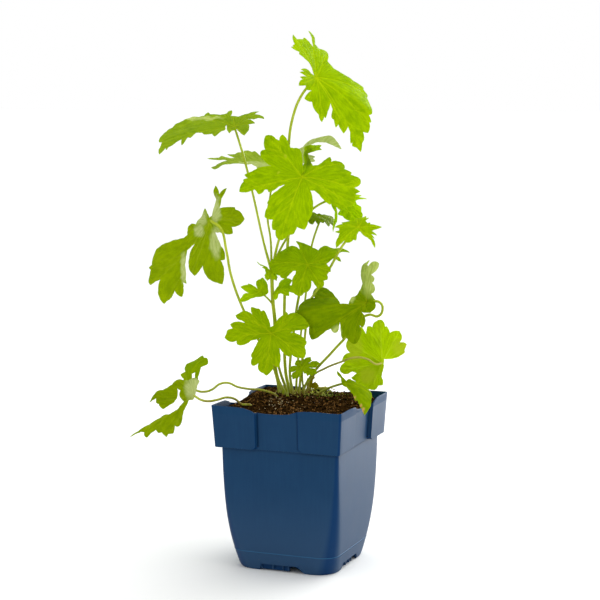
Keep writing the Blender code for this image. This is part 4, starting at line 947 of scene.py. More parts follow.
# %% The plant
PLANT = {
"main_shoot": ([
(2.3, 1.5, [
    (-16, 25, 140), (-16, 25, 154), (-23, 23, 172), (-26, 18, 201), (-25, 15, 226), (-27, 14, 248),
    (-28, 14, 279),
]),
(1.3, 0.9, [(-28, 14, 275), (-35, 14, 301), (-46, 12, 351), (-54, 9, 384), (-62, 6, 411)]),
(1.2, 0.9, [(-28, 14, 275), (-29, 20, 305), (-32, 27, 327), (-29, 34, 349), (-28, 40, 374)]),
(1.4, 1.0, [(-28, 14, 276), (-21, 10, 306), (-10, 6, 338), (1, -6, 365)]),
(1.2, 0.9, [(-28, 14, 279), (-14, 17, 306), (-1, 18, 322), (16, 15, 338), (35, 12, 346)]),
(1.0, 0.8, [(-27, 14, 244), (-32, 12, 250), (-39, 9, 257)]),
(1.0, 0.8, [(-27, 14, 250), (-24, 11, 254), (-20, 9, 259)]),
(1.0, 0.8, [(-28, 14, 273), (-30, 9, 276), (-30, 6, 278)]),
], [
((-62, 6, 411), [
    ((-52, -22, 404), 9, 2), ((-42, -10, 411), 8, 2), ((-35, 14, 419), 8, 3), ((-41, 42, 426), 8, 3),
    ((-67, 46, 426), 10, 3), ((-90, 46, 423), 15, 3), ((-126, 2, 399), 18, 2), ((-80, -20, 401), 12, 2),
    ((-66, -18, 404), 5, 1),
], [
    -60, 410, -57, 407, -53, 403.5, -50.5, 406.5, -48.5, 410.5, -49.5, 414.5, -43, 415, -46, 417.5, -51, 419,
    -47.5, 419.5, -44, 419, -40, 420, -34.5, 419, -37.5, 422, -44, 423.5, -39, 426, -44, 426, -48.5, 424,
    -54, 423, -58.5, 421, -65.5, 421.5, -64.5, 426.5, -69, 424, -75.5, 423, -84, 423, -86.5, 424.5, -90,
    421.5, -95, 420.5, -100.5, 421, -110, 417.5, -120, 411.5, -125.5, 407.5, -130, 403, -132, 398, -129.5,
    397, -131.5, 392, -132, 386, -126, 392.5, -125.5, 390, -123, 393, -113.5, 399.5, -111, 400.5, -111.5,
    395.5, -105.5, 402, -103, 401.5, -98, 406.5, -92.5, 406.5, -88.5, 405, -83, 405.5, -80.5, 403, -74.5,
    407.5, -72, 408.5, -70.5, 412, -69, 413.5, -67, 406, -64.5, 408.5, -62, 409,
]),
((-28, 40, 374), [
    ((-37, 24, 360), 8, 2), ((-86, 28, 372), 8, 2), ((-90, 44, 380), 8, 3), ((-72, 62, 384), 9, 3),
    ((-26, 74, 388), 9, 3), ((-13, 56, 371), 9, 2),
], [
    -31, 367, -36.5, 361.5, -40.5, 370, -42, 375, -46, 377, -52.5, 377.5, -63.5, 378, -71, 377, -75.5, 375,
    -80.5, 372.5, -84, 374, -79.5, 376, -75, 378.5, -68, 380.5, -72, 381.5, -79.5, 381, -87.5, 382, -76.5,
    383.5, -74, 385, -71.5, 384, -66.5, 383, -61, 383, -64.5, 384.5, -69, 386, -61.5, 386.5, -58, 388, -54,
    388, -53.5, 389.5, -49.5, 389.5, -46, 388.5, -43.5, 389, -39.5, 386, -36.5, 383, -31, 384.5, -27, 391,
    -21.5, 389.5, -18, 383, -21.5, 377.5, -13.5, 377.5, -12.5, 370, -21.5, 370,
]),
((1, -6, 365), [
    ((2, 4, 391), 10, 2), ((-24, 10, 404), 19, 3), ((-58, 2, 353), 14, 3), ((-19, -28, 309), 24, 5),
    ((34, -22, 338), 14, 4), ((55, -8, 360), 18, 4), ((27, 6, 383), 14, 3), ((21, 24, 393), 7, 2),
    ((4, 30, 389), 6, 1),
], [
    2, 368.5, 1, 376.5, 0.5, 384, -0.5, 389, -3.5, 392, -7, 392, -10, 392.5, -12, 396.5, -13.5, 400.5, -15.5,
    403, -17.5, 404.5, -19.5, 403, -20.5, 399, -23.5, 400.5, -26, 403, -29, 404, -33, 403.5, -34.5, 398.5,
    -34, 392, -33.5, 390.5, -36.5, 390, -38, 388.5, -37.5, 384, -35, 381, -31.5, 377.5, -27.5, 375.5, -33,
    375, -42, 372.5, -46, 370.5, -53, 367, -50, 364, -54, 362.5, -53.5, 360.5, -56, 357.5, -58, 351.5, -53.5,
    351, -48, 352, -43.5, 353.5, -42, 352, -40, 349, -36.5, 350.5, -34, 353.5, -31.5, 353.5, -30.5, 351,
    -27.5, 352, -21, 356.5, -17, 358, -14.5, 358.5, -18, 356, -22.5, 352.5, -27.5, 348.5, -29, 345.5, -32,
    340.5, -29.5, 339.5, -32.5, 336, -34.5, 328, -31.5, 326, -26.5, 325.5, -27.5, 322, -27, 316, -24, 315.5,
    -24, 312, -22, 307.5, -19.5, 306, -16, 307, -13.5, 309.5, -12, 311.5, -8, 311.5, -5.5, 315, -4, 318.5, 3,
    316, 5, 319, 6.5, 324, 8.5, 327.5, 10.5, 332.5, 11, 339, 10.5, 344.5, 8.5, 352.5, 12, 352.5, 16.5, 349,
    20.5, 344.5, 26.5, 339.5, 29.5, 340.5, 33.5, 336.5, 37.5, 333.5, 42, 337, 50, 340.5, 50, 344, 51, 349.5,
    55, 351.5, 49.5, 355, 55, 358.5, 55.5, 360.5, 54, 364, 50, 366, 46, 367, 47, 369, 40, 372.5, 40.5, 375,
    39, 377.5, 34, 379.5, 30.5, 380, 28, 379, 27.5, 382.5, 26.5, 384, 22.5, 381.5, 19, 378.5, 15.5, 376, 11,
    375.5, 9, 378.5, 7, 383, 5.5, 387, 9, 388.5, 19, 390.5, 17, 392, 19, 394, 13.5, 394.5, 7, 394.5, 3,
    392.5, 3, 389.5, 3, 379,
]),
((35, 12, 346), [
    ((30, 4, 314), 3, 2), ((45, -4, 324), 12, 2), ((58, 0, 331), 9, 2), ((62, 14, 344), 5, 2),
    ((48, 30, 353), 7, 2), ((30, 36, 356), 7, 2), ((25, 28, 350), 6, 1),
], [
    34.5, 343, 39, 338, 37, 334.5, 34.5, 330, 39, 328.5, 42, 325.5, 46.5, 324, 52, 324, 56, 326.5, 57.5,
    329.5, 56, 333, 56, 337, 52, 339.5, 50.5, 343, 53, 344.5, 61.5, 345, 53, 346.5, 56.5, 348, 51, 349, 47.5,
    353, 41.5, 357, 36, 355, 30.5, 357, 25, 353, 25, 347.5, 28, 339.5, 31.5, 332.5, 31.5, 327, 29.5, 314, 32,
    320.5, 34, 330.5, 32.5, 337,
]),
((-39, 9, 256), [
    ((-37, 16, 269), 6, 2), ((-50, 8, 264), 5, 2), ((-57, 2, 262), 5, 2), ((-57, -8, 250), 6, 2),
], [
    -31, 256.5, -31.5, 261, -32, 265, -34.5, 269, -36.5, 271, -38.5, 269.5, -41, 268.5, -42.5, 266, -41,
    259.5, -45.5, 263.5, -50, 265.5, -50, 264, -57, 262.5, -54.5, 260, -48.5, 256, -53, 256, -56, 252.5, -58,
    249.5, -57, 248, -51, 249, -47.5, 251, -42.5, 252.5, -37, 253,
]),
((-20, 9, 259), [
    ((-25, 2, 249), 5, 1), ((-12, -4, 254), 5, 1), ((-7, 2, 260), 5, 1), ((-10, 14, 267), 5, 1),
], [
    -25.5, 256, -26, 252.5, -24.5, 249.5, -22.5, 251.5, -21.5, 255, -19.5, 256, -16.5, 255, -13.5, 254,
    -11.5, 254, -11.5, 257.5, -7.5, 256.5, -7.5, 261, -11, 264.5, -8.5, 268, -13.5, 270, -17, 269, -20,
    266.5, -21.5, 263, -24, 260,
]),
((-30, 6, 278), [
    ((-37, 12, 279), 2.5, 1), ((-42, 10, 285), 2.5, 1), ((-32, -2, 268), 4, 1), ((-23, -2, 268), 4, 1),
], []),
]),
"second_shoot": ([
(2.1, 1.0, [
    (-11, 32, 140), (-11, 32, 154), (-15, 31, 176), (-16, 30, 212), (-16, 29, 246), (-14, 28, 283),
    (-12, 26, 318), (-12, 20, 357), (-12, 16, 390), (-8, 12, 420), (1, 9, 442), (14, 6, 457),
]),
(1.1, 0.8, [(-12, 26, 316), (-9, 28, 346), (-6, 32, 378)]),
], [
((14, 6, 457), [
    ((3, -10, 438), 7, 2), ((19, -12, 416), 10, 3), ((38, -14, 406), 12, 4), ((55, -14, 389), 16, 5),
    ((66, 0, 424), 17, 5), ((59, 22, 448), 16, 4), ((25, 40, 483), 10, 3), ((7, 40, 501), 6, 2),
    ((-9, 18, 494), 12, 3), ((-2, -6, 462), 9, 2), ((-2, -16, 450), 7, 2),
], [
    10, 445.5, 6, 442.5, 3, 438, 6.5, 435.5, 10, 435, 12.5, 427.5, 16, 423, 17, 419, 19, 416, 21.5, 421,
    22.5, 419.5, 24.5, 425.5, 27, 435, 29, 428, 28.5, 419.5, 30, 418.5, 32, 411, 34.5, 414, 39.5, 405.5,
    43.5, 412, 45.5, 407, 46, 396.5, 47.5, 397, 47.5, 394, 51, 392.5, 55.5, 388.5, 56.5, 396.5, 58.5, 401,
    57, 407, 62, 406, 63.5, 410.5, 63, 415.5, 65, 416, 62.5, 422.5, 65.5, 423.5, 64, 431.5, 60.5, 438, 61.5,
    440.5, 57.5, 445.5, 57.5, 448, 48, 454, 36, 461.5, 29.5, 466.5, 24.5, 472, 25, 477.5, 23.5, 481.5, 20,
    483, 17, 483.5, 12.5, 487.5, 11.5, 494.5, 6.5, 499.5, 9.5, 493.5, 11.5, 484, 8.5, 488, 5.5, 491.5, 2.5,
    493.5, 1, 491.5, -4, 492, -7.5, 496.5, -7.5, 491.5, -6, 488, -8, 486.5, -6.5, 485.5, -9.5, 485, -2,
    480.5, -2, 478.5, 2, 476, 6.5, 472, 10, 466, 12.5, 458.5, 9, 461, 5.5, 464.5, -0.5, 464.5, 3, 462.5,
    -1.5, 462, 6.5, 457.5, -1, 458, 1.5, 455.5, -1.5, 453.5, -2, 450, 4, 446,
]),
((-6, 32, 378), [
    ((-16, 34, 370), 8, 2), ((-23, 46, 381), 8, 2), ((-13, 56, 389), 8, 2), ((16, 50, 399), 6, 2),
    ((38, 44, 390), 6, 3), ((12, 28, 377), 6, 1), ((4, 22, 371), 6, 1),
], [
    -9.5, 370, -16, 373.5, -21.5, 375.5, -23.5, 384.5, -16, 384.5, -12.5, 391, -6, 389.5, 1.5, 393, 4.5,
    396.5, 9, 400, 15.5, 402.5, 23, 403, 27.5, 403, 32.5, 399, 35, 395.5, 37.5, 391, 34, 392.5, 29.5, 394.5,
    23, 397.5, 15.5, 397.5, 10, 396, 4.5, 392.5, 2.5, 388.5, 7, 385.5, 11, 384.5, 13, 383.5, 10.5, 382.5, 13,
    380, 10, 379, 5.5, 381, 1.5, 377.5, 4.5, 371.5, -1, 370,
]),
]),
"leaf_centre": ([
(1.7, 1.0, [
    (-8, 25, 140), (-8, 25, 154), (-11, 24, 177), (-8, 20, 209), (-3, 12, 248), (2, 5, 268), (6, -2, 283),
]),
], [
((6, -2, 283), [
    ((27, 4, 283), 6, 2), ((45, 14, 293), 10, 3), ((-5, 16, 304), 9, 3), ((-29, 2, 283), 16, 4),
    ((-1, -20, 256), 13, 4), ((20, -22, 264), 8, 3), ((28, -20, 280), 9, 3),
], [
    22, 283, 28, 287.5, 30.5, 289, 34, 287, 37.5, 286, 36, 289.5, 32.5, 291, 32.5, 293.5, 38, 295, 41.5,
    294.5, 45, 294, 41, 297, 37, 299, 30.5, 298.5, 27, 299.5, 23, 301, 19.5, 300, 16, 296.5, 11, 298.5, 4.5,
    302, -5, 305, -2.5, 301.5, -0.5, 295.5, -3, 298.5, -6.5, 300.5, -10.5, 300.5, -16, 297.5, -19.5, 295,
    -23, 291, -27.5, 288, -30, 283.5, -28.5, 279.5, -24.5, 274.5, -20, 272.5, -18.5, 270.5, -15, 270, -10.5,
    274.5, -7.5, 277.5, -5, 277.5, -5.5, 274.5, -8, 270, -8.5, 265, -10.5, 260, -7.5, 256.5, -1.5, 253.5,
    0.5, 254, 2.5, 256.5, 5, 257, 8, 259.5, 9.5, 265, 9.5, 268, 11, 267, 13.5, 263, 16, 260.5, 20.5, 262,
    21.5, 265.5, 21, 268, 24.5, 269, 25, 271.5, 24, 274, 25, 276, 27.5, 276.5, 27, 280, 25, 282,
]),
]),
"leaf_right_light": ([
(1.6, 0.9, [
    (-2, 25, 140), (-2, 25, 154), (0, 24, 179), (4, 20, 217), (6, 16, 242), (14, 6, 257), (27, -6, 281),
    (40, -17, 305), (53, -24, 320),
]),
], [
((53, -24, 320), [
    ((67, -38, 303), 6, 2), ((74, -28, 320), 6, 2), ((63, -14, 328), 5, 2), ((47, -12, 327), 6, 2),
    ((31, -22, 319), 7, 2), ((32, -36, 304), 8, 2), ((49, -38, 310), 5, 1),
], [
    55.5, 314.5, 57, 312, 61.5, 309, 65, 306, 69, 299, 69, 303.5, 65.5, 309.5, 68.5, 307.5, 65, 312.5, 71,
    310.5, 66, 315, 68.5, 316, 72, 317, 75.5, 318.5, 71, 320, 64.5, 321, 64.5, 322.5, 62, 322, 60, 324, 63.5,
    327.5, 60.5, 326, 60.5, 329, 57, 327, 52.5, 326.5, 49.5, 323.5, 41, 323.5, 37.5, 323, 39, 321.5, 31.5,
    318, 35.5, 317, 35.5, 315, 31.5, 314, 36, 312.5, 34.5, 309, 32.5, 305.5, 32.5, 299.5, 36, 302.5, 40, 306,
    42, 304, 46.5, 305, 48.5, 307, 51, 306.5, 52, 311.5,
]),
]),
"leaf_back_small": ([
(1.5, 0.8, [
    (-5, 32, 140), (-5, 32, 154), (-4, 33, 176), (-1, 36, 206), (5, 40, 255), (10, 41, 297), (19, 40, 325),
]),
], [
((19, 40, 325), [
    ((10, 54, 328), 7, 2), ((8, 32, 320), 8, 2), ((18, 22, 319), 7, 2), ((26, 26, 317), 7, 2),
    ((32, 44, 320), 7, 2), ((25, 54, 326), 5, 1),
], [
    19.5, 330, 14, 331, 9.5, 332.5, 7.5, 329, 6.5, 325, 8, 322, 10.5, 321.5, 13, 324.5, 16, 320.5, 18, 323,
    20.5, 321.5, 21.5, 323.5, 25.5, 318.5, 27, 322.5, 30, 319.5, 32, 323, 29.5, 326.5, 27, 328.5, 23, 330,
]),
]),
"leaf_left_hanging": ([
(1.7, 1.0, [
    (-21, 33, 140), (-21, 33, 154), (-27, 34, 181), (-42, 21, 211), (-55, 9, 240), (-66, 2, 273),
    (-70, -8, 298), (-75, -10, 318), (-85, -2, 325),
]),
], [
((-85, -2, 325), [
    ((-75, 2, 265), 12, 4), ((-100, 0, 272), 12, 4), ((-129, 4, 246), 14, 6), ((-143, 12, 263), 14, 6),
    ((-107, 18, 318), 8, 2), ((-91, 18, 335), 5, 1), ((-76, 14, 356), 6, 1), ((-53, 6, 326), 12, 2),
    ((-65, 2, 312), 8, 2),
], [
    -80.5, 313, -78, 307, -75, 300.5, -72.5, 296.5, -71.5, 288, -75.5, 287, -73.5, 283, -72.5, 277, -74,
    264.5, -79, 266, -85, 268.5, -89, 272.5, -91.5, 277.5, -92.5, 282, -94.5, 279, -100, 272.5, -102.5, 275,
    -104.5, 278, -105.5, 283, -105, 289.5, -103.5, 296, -101, 300.5, -98, 305, -102.5, 300.5, -106.5, 296.5,
    -108, 290.5, -109, 283, -108.5, 269.5, -107.5, 265, -111, 266.5, -110.5, 261, -112, 252.5, -115.5, 254,
    -119, 258.5, -120.5, 255, -123, 251, -126.5, 248.5, -129, 246, -131.5, 248.5, -133.5, 252.5, -134.5, 259,
    -132.5, 269, -136.5, 267, -141.5, 263.5, -143, 267.5, -142.5, 273.5, -141, 278, -142.5, 280, -140, 283,
    -139.5, 288.5, -137.5, 293.5, -134, 298.5, -128.5, 302, -122, 305, -115.5, 307, -110.5, 308.5, -107, 311,
    -106.5, 315.5, -105.5, 319, -102.5, 321.5, -98.5, 321, -97, 324, -93.5, 328, -90, 336, -88, 331.5, -86,
    327, -83.5, 329, -81, 338, -79.5, 344, -81.5, 352.5, -79.5, 357, -76.5, 349, -74, 352.5, -69.5, 355,
    -74.5, 345, -76.5, 336, -62, 337, -61.5, 335, -58, 333.5, -54.5, 329, -53, 326, -55.5, 322.5, -59.5,
    319.5, -65, 318.5, -64, 312.5, -68.5, 311.5, -72, 312.5, -76.5, 313.5,
]),
]),
"leaf_front": ([
(1.7, 1.0, [(-13, 19, 140), (-13, 19, 154), (-20, 8, 180), (-25, -8, 203), (-28, -22, 221)]),
], [
((-28, -22, 221), [
    ((-46, -14, 244), 14, 3), ((-71, -26, 218), 12, 3), ((-32, -44, 186), 15, 3), ((2, -38, 202), 15, 3),
    ((6, -20, 228), 13, 3),
], [
    -29, 224, -30, 229, -31.5, 232.5, -35, 240, -38, 239, -39, 241, -42, 241.5, -47, 243, -47.5, 240.5, -46,
    236, -50, 238.5, -54, 239, -58.5, 237, -62, 235, -59.5, 231.5, -56, 230.5, -50, 226.5, -55, 228.5, -61,
    229, -67, 226.5, -64.5, 222.5, -67.5, 222, -69.5, 221, -70.5, 218, -72.5, 214, -66.5, 210, -61, 211, -61,
    208.5, -59.5, 207, -50.5, 208.5, -47.5, 211, -38.5, 213.5, -40.5, 210.5, -43, 206, -45.5, 201, -47.5,
    196.5, -46.5, 194.5, -47.5, 191.5, -46.5, 187.5, -45, 187, -40.5, 189.5, -41, 185, -39, 181.5, -36, 180,
    -32.5, 177.5, -28.5, 181.5, -26.5, 185, -27, 189, -25, 187, -21, 185.5, -20, 190, -19.5, 194.5, -20,
    199.5, -22, 207.5, -17, 199.5, -13.5, 196.5, -10.5, 195.5, -9, 198, -7, 196, -1, 194.5, 3, 195, 4.5, 201,
    3, 205.5, 5, 208.5, 3, 213, -0.5, 216, -4, 217.5, -11.5, 218.5, -5, 220.5, 5, 223, 7.5, 225, 5, 229, 1.5,
    233.5, -3, 236.5, -5.5, 237.5, -9, 237.5, -12.5, 235.5, -13, 237.5, -14.5, 238, -16.5, 235.5, -20, 233.5,
    -23.5, 229.5, -25.5, 225.5,
]),
]),
"leaf_right_dark": ([
(1.5, 1.0, [
    (1, 29, 140), (1, 29, 154), (7, 22, 170), (31, 8, 201), (42, 3, 214), (53, 2, 229), (64, -2, 236),
    (72, -5, 235), (76, -8, 241), (73, -11, 249), (61, -8, 248),
]),
], [
((61, -8, 248), [
    ((68, -6, 254), 5, 1), ((67, 6, 287), 9, 2), ((49, 6, 258), 6, 1), ((14, 22, 258), 11, 3),
    ((-4, -8, 238), 16, 4), ((10, -10, 214), 16, 4), ((31, -14, 221), 7, 2), ((49, -26, 213), 13, 4),
    ((58, -24, 229), 6, 2), ((69, -16, 245), 8, 2),
], [
    68, 251.5, 65.5, 255.5, 68.5, 257.5, 69, 262, 66.5, 266, 68.5, 268.5, 68, 271.5, 65.5, 273.5, 68, 275.5,
    71, 278.5, 73, 284, 70.5, 286, 67, 286, 64.5, 284, 63, 281.5, 62, 283, 63.5, 287.5, 61, 285.5, 58, 283,
    56.5, 279, 56, 274.5, 57.5, 265, 56, 260, 54, 257, 50.5, 253, 48, 252.5, 46, 250, 44.5, 246, 36.5, 246,
    35, 249, 31.5, 253.5, 27, 258, 22.5, 261, 15.5, 262, 11, 257.5, 13, 251.5, 4.5, 250, 0, 246, -3, 241, -5,
    236.5, -2, 230, 4.5, 226, 7.5, 224, 7, 220.5, 8, 215.5, 10, 212, 14, 213, 18.5, 216.5, 23.5, 220.5, 28,
    222.5, 29, 220, 32, 218.5, 34, 219.5, 35.5, 225, 36.5, 231, 37, 225, 37.5, 218.5, 38.5, 213, 42, 215,
    46.5, 209.5, 49.5, 208, 53, 210, 55.5, 214, 56.5, 224.5, 58, 223.5, 60, 228, 60, 233, 56.5, 238.5, 61,
    237.5, 65, 237.5, 70, 243.5, 69, 248,
]),
]),
"leaf_right_low": ([
(1.2, 0.8, [
    (5, 33, 140), (5, 33, 154), (11, 26, 173), (22, 20, 181), (38, 6, 190), (50, 0, 195), (61, 0, 194),
    (71, 4, 188), (77, 10, 188),
]),
], [
((77, 10, 188), [
    ((67, 12, 163), 14, 2), ((38, 18, 182), 11, 3), ((45, 28, 206), 15, 3), ((76, 34, 226), 13, 3),
    ((94, 32, 215), 10, 3), ((100, 24, 199), 9, 2),
], [
    78, 190, 76.5, 180, 76, 176.5, 77.5, 172.5, 77, 168.5, 73, 168, 70.5, 164.5, 65, 164.5, 60.5, 166.5,
    55.5, 168.5, 51, 172.5, 47, 175.5, 49.5, 177.5, 52.5, 180, 48, 181.5, 45.5, 180, 42.5, 179, 39, 180,
    36.5, 182.5, 37, 186, 41, 190.5, 38.5, 192.5, 41.5, 198, 46, 199.5, 42.5, 204.5, 43.5, 211.5, 48, 217.5,
    53.5, 221, 56.5, 224.5, 61, 217.5, 61.5, 221, 62, 224.5, 64, 225, 67, 224, 68, 227.5, 70.5, 229.5, 74.5,
    231, 77.5, 229, 79, 224.5, 80.5, 225, 82.5, 222, 83.5, 218.5, 86, 220, 93, 220, 95, 214.5, 93, 209.5, 97,
    209.5, 99.5, 207.5, 97.5, 202, 98, 200, 94, 197, 88.5, 194.5, 78, 193.5,
]),
]),
"leaf_over_rim": ([
(1.4, 0.9, [(17, 25, 140), (17, 25, 154), (25, 12, 163), (34, -2, 169), (41, -14, 173)]),
], [
((41, -14, 173), [
    ((58, -50, 150), 9, 4), ((65, -36, 164), 9, 4), ((48, -10, 175), 5, 1), ((35, -6, 183), 3, 1),
], [
    43, 166.5, 46, 163, 49, 160, 50, 156.5, 51, 154, 53.5, 154, 55, 150, 57.5, 145.5, 60, 140, 64, 145.5, 66,
    150.5, 66, 155, 67, 159, 65, 163, 58.5, 167.5, 52.5, 171, 46, 174.5, 42.5, 172.5, 39, 176, 34, 182, 34,
    179, 37.5, 175, 38, 171.5,
]),
]),
"leaf_base_small": ([
(1.2, 0.8, [(3, 20, 140), (3, 20, 154), (1, 12, 173), (1, 5, 184)]),
], [
((1, 5, 184), [
    ((15, -8, 181), 6, 1), ((18, 0, 189), 6, 1), ((9, 10, 194), 6, 1), ((-5, 14, 190), 5, 1),
    ((-12, 6, 182), 6, 1), ((-8, -6, 175), 6, 1),
], []),
]),
"leaf_left_low_near": ([
(1.3, 0.9, [
    (-47, -13, 140), (-47, -13, 151), (-56, -15, 153), (-62, -16, 158), (-70, -18, 160), (-79, -20, 158),
    (-87, -21, 157), (-94, -24, 159), (-101, -22, 163),
]),
], [
((-101, -22, 163), [
    ((-116, -36, 133), 9, 2), ((-142, -44, 130), 14, 4), ((-129, -24, 153), 13, 4),
    ((-141, -14, 156), 10, 3), ((-114, -14, 176), 7, 2), ((-98, -20, 178), 7, 1),
], [
    -102.5, 154.5, -106.5, 154, -109.5, 147.5, -111.5, 143.5, -112.5, 139, -115.5, 129.5, -117.5, 128.5,
    -120, 129.5, -121.5, 122, -126, 121.5, -128, 118.5, -132.5, 123.5, -135.5, 122.5, -138, 125.5, -142.5,
    122.5, -146.5, 118, -149, 120, -149, 123.5, -152, 124, -157, 122, -162.5, 118.5, -155, 124.5, -144.5,
    130.5, -134, 137, -129, 140, -125.5, 140, -121.5, 142.5, -117, 145.5, -111, 153, -114, 156, -115.5, 160,
    -114.5, 163.5, -117.5, 165.5, -117, 161, -119.5, 153.5, -124.5, 150, -131, 145.5, -133.5, 147.5, -135,
    150.5, -137.5, 152, -137.5, 156, -141, 154, -144, 152, -139, 160, -135, 163.5, -131, 164, -127, 166,
    -122.5, 169, -116.5, 174, -112, 173.5, -107, 173, -100.5, 175.5, -96.5, 172.5, -98.5, 168.5, -99.5, 164,
]),
]),
"leaf_left_low_far": ([
(1.3, 0.9, [
    (-22, 18, 140), (-22, 18, 153), (-35, 18, 160), (-52, 18, 162), (-61, 17, 164), (-70, 16, 168),
    (-78, 15, 167), (-85, 14, 162), (-92, 13, 160), (-100, 14, 161), (-108, 14, 167),
]),
], [
((-108, 14, 167), [
    ((-92, 24, 191), 8, 3), ((-110, 30, 183), 8, 2), ((-116, 32, 173), 6, 1),
], [
    -104.5, 164.5, -103, 169.5, -103.5, 174.5, -103.5, 179.5, -100, 181, -100.5, 176.5, -100.5, 171.5, -98,
    172.5, -98, 176.5, -96, 181, -94.5, 185.5, -89, 188.5, -88, 191.5, -89, 194.5, -91.5, 194.5, -93, 197,
    -98.5, 194, -105, 190, -109, 188, -110.5, 184.5, -109.5, 182, -114, 178.5, -111, 174.5, -112, 169.5,
    -108, 163,
]),
]),
"leaf_withered": ([
(1.1, 0.8, [(11, 35, 140), (11, 35, 154), (9, 34, 160), (9, 33, 163)]),
], [
((9, 33, 163), [
    ((17, 28, 163), 4, 1), ((12, 34, 176), 4, 2), ((6, 38, 169), 4, 1),
], []),
]),
}
print(len(PLANT), "shoots and leaves on their own stalks")

# %% [markdown]
# ## Leaves, laid flat
#
# A delphinium leaf is a hand: narrow lobes that spread from the top of the stalk, each with coarse teeth,
# and all of them hang and arch in space. It is easiest to draw such a leaf flat, like a paper pattern, and
# to give a rule that carries every flat point to its place. The edge above was drawn as it appears from
# the front, so each of its points is first laid on the plane between two lobes.

# %% The viewer's eye
# Across, back and up in the picture.
EYE = (-1.2, -1588.4, 441.9)


def sight_of(spot):
    """Where the viewer sees a place, on the upright plane through the pot's middle: across and up."""
    turn = Matrix.Rotation(math.radians(-PICTURE_TURN_DEG), 3, "Z")
    across, back, up = (turn @ spot) / MM
    share = EYE[1] / (EYE[1] - back)
    return Vector((EYE[0] + (across - EYE[0]) * share, EYE[2] + (up - EYE[2]) * share))


def polar(turn, reach):
    return Vector((math.cos(turn), math.sin(turn))) * reach


print("the eye is", round(-EYE[1]), "mm in front of the pot's middle")


# %% A lobe
class Lobe:
    """One lobe of a leaf: where it points, how long and wide it is, and how it arches."""

    def __init__(self, hub, tip, half_width, arch):
        reach = from_picture(tip) - hub
        self.length = reach.length
        self.aim = reach.normalized()
        self.half_width = half_width * MM
        self.arch = arch * MM
        self.veined = arch > 1
        self.turn = 0.0
        self.normal = None


print(sum(len(lobes) for _, leaves in PLANT.values() for _, lobes, _ in leaves), "lobes in the table")

# %% A leaf, and the rule that carries it into space
# How often a drawn point is laid again on its plane, and what it costs to leave the plane's lobes.
LAYING_ROUNDS = 4
OFF_PLANE_COST = 4.0
# The lobes leave a gap at the leaf's open base.
WIDEST_FAN = math.radians(342)
LOBE_DROOP = 0.10
BEHIND_HUB = 2.0
# Half of a small leaf's lobe: place along the lobe and share of its half width, tips and notches in turn.
SMALL_LOBE_EDGE = ((0.44, 0.66), (0.62, 1.0), (0.66, 0.72), (0.82, 0.62), (0.86, 0.36), (1.0, 0.0))
BASAL_EDGE = ((0.20, 0.50), (0.34, 0.84))
# By how much the teeth vary, along the lobe and out from it.
ALONG_JITTER, OUT_JITTER = 0.014, 0.07
SMALL_LEAF_CUT = 0.36
CLEAR_OF_CUT = 1.06
ROOM_SHARE = 0.9
WIDEST_ROOM = math.radians(77)


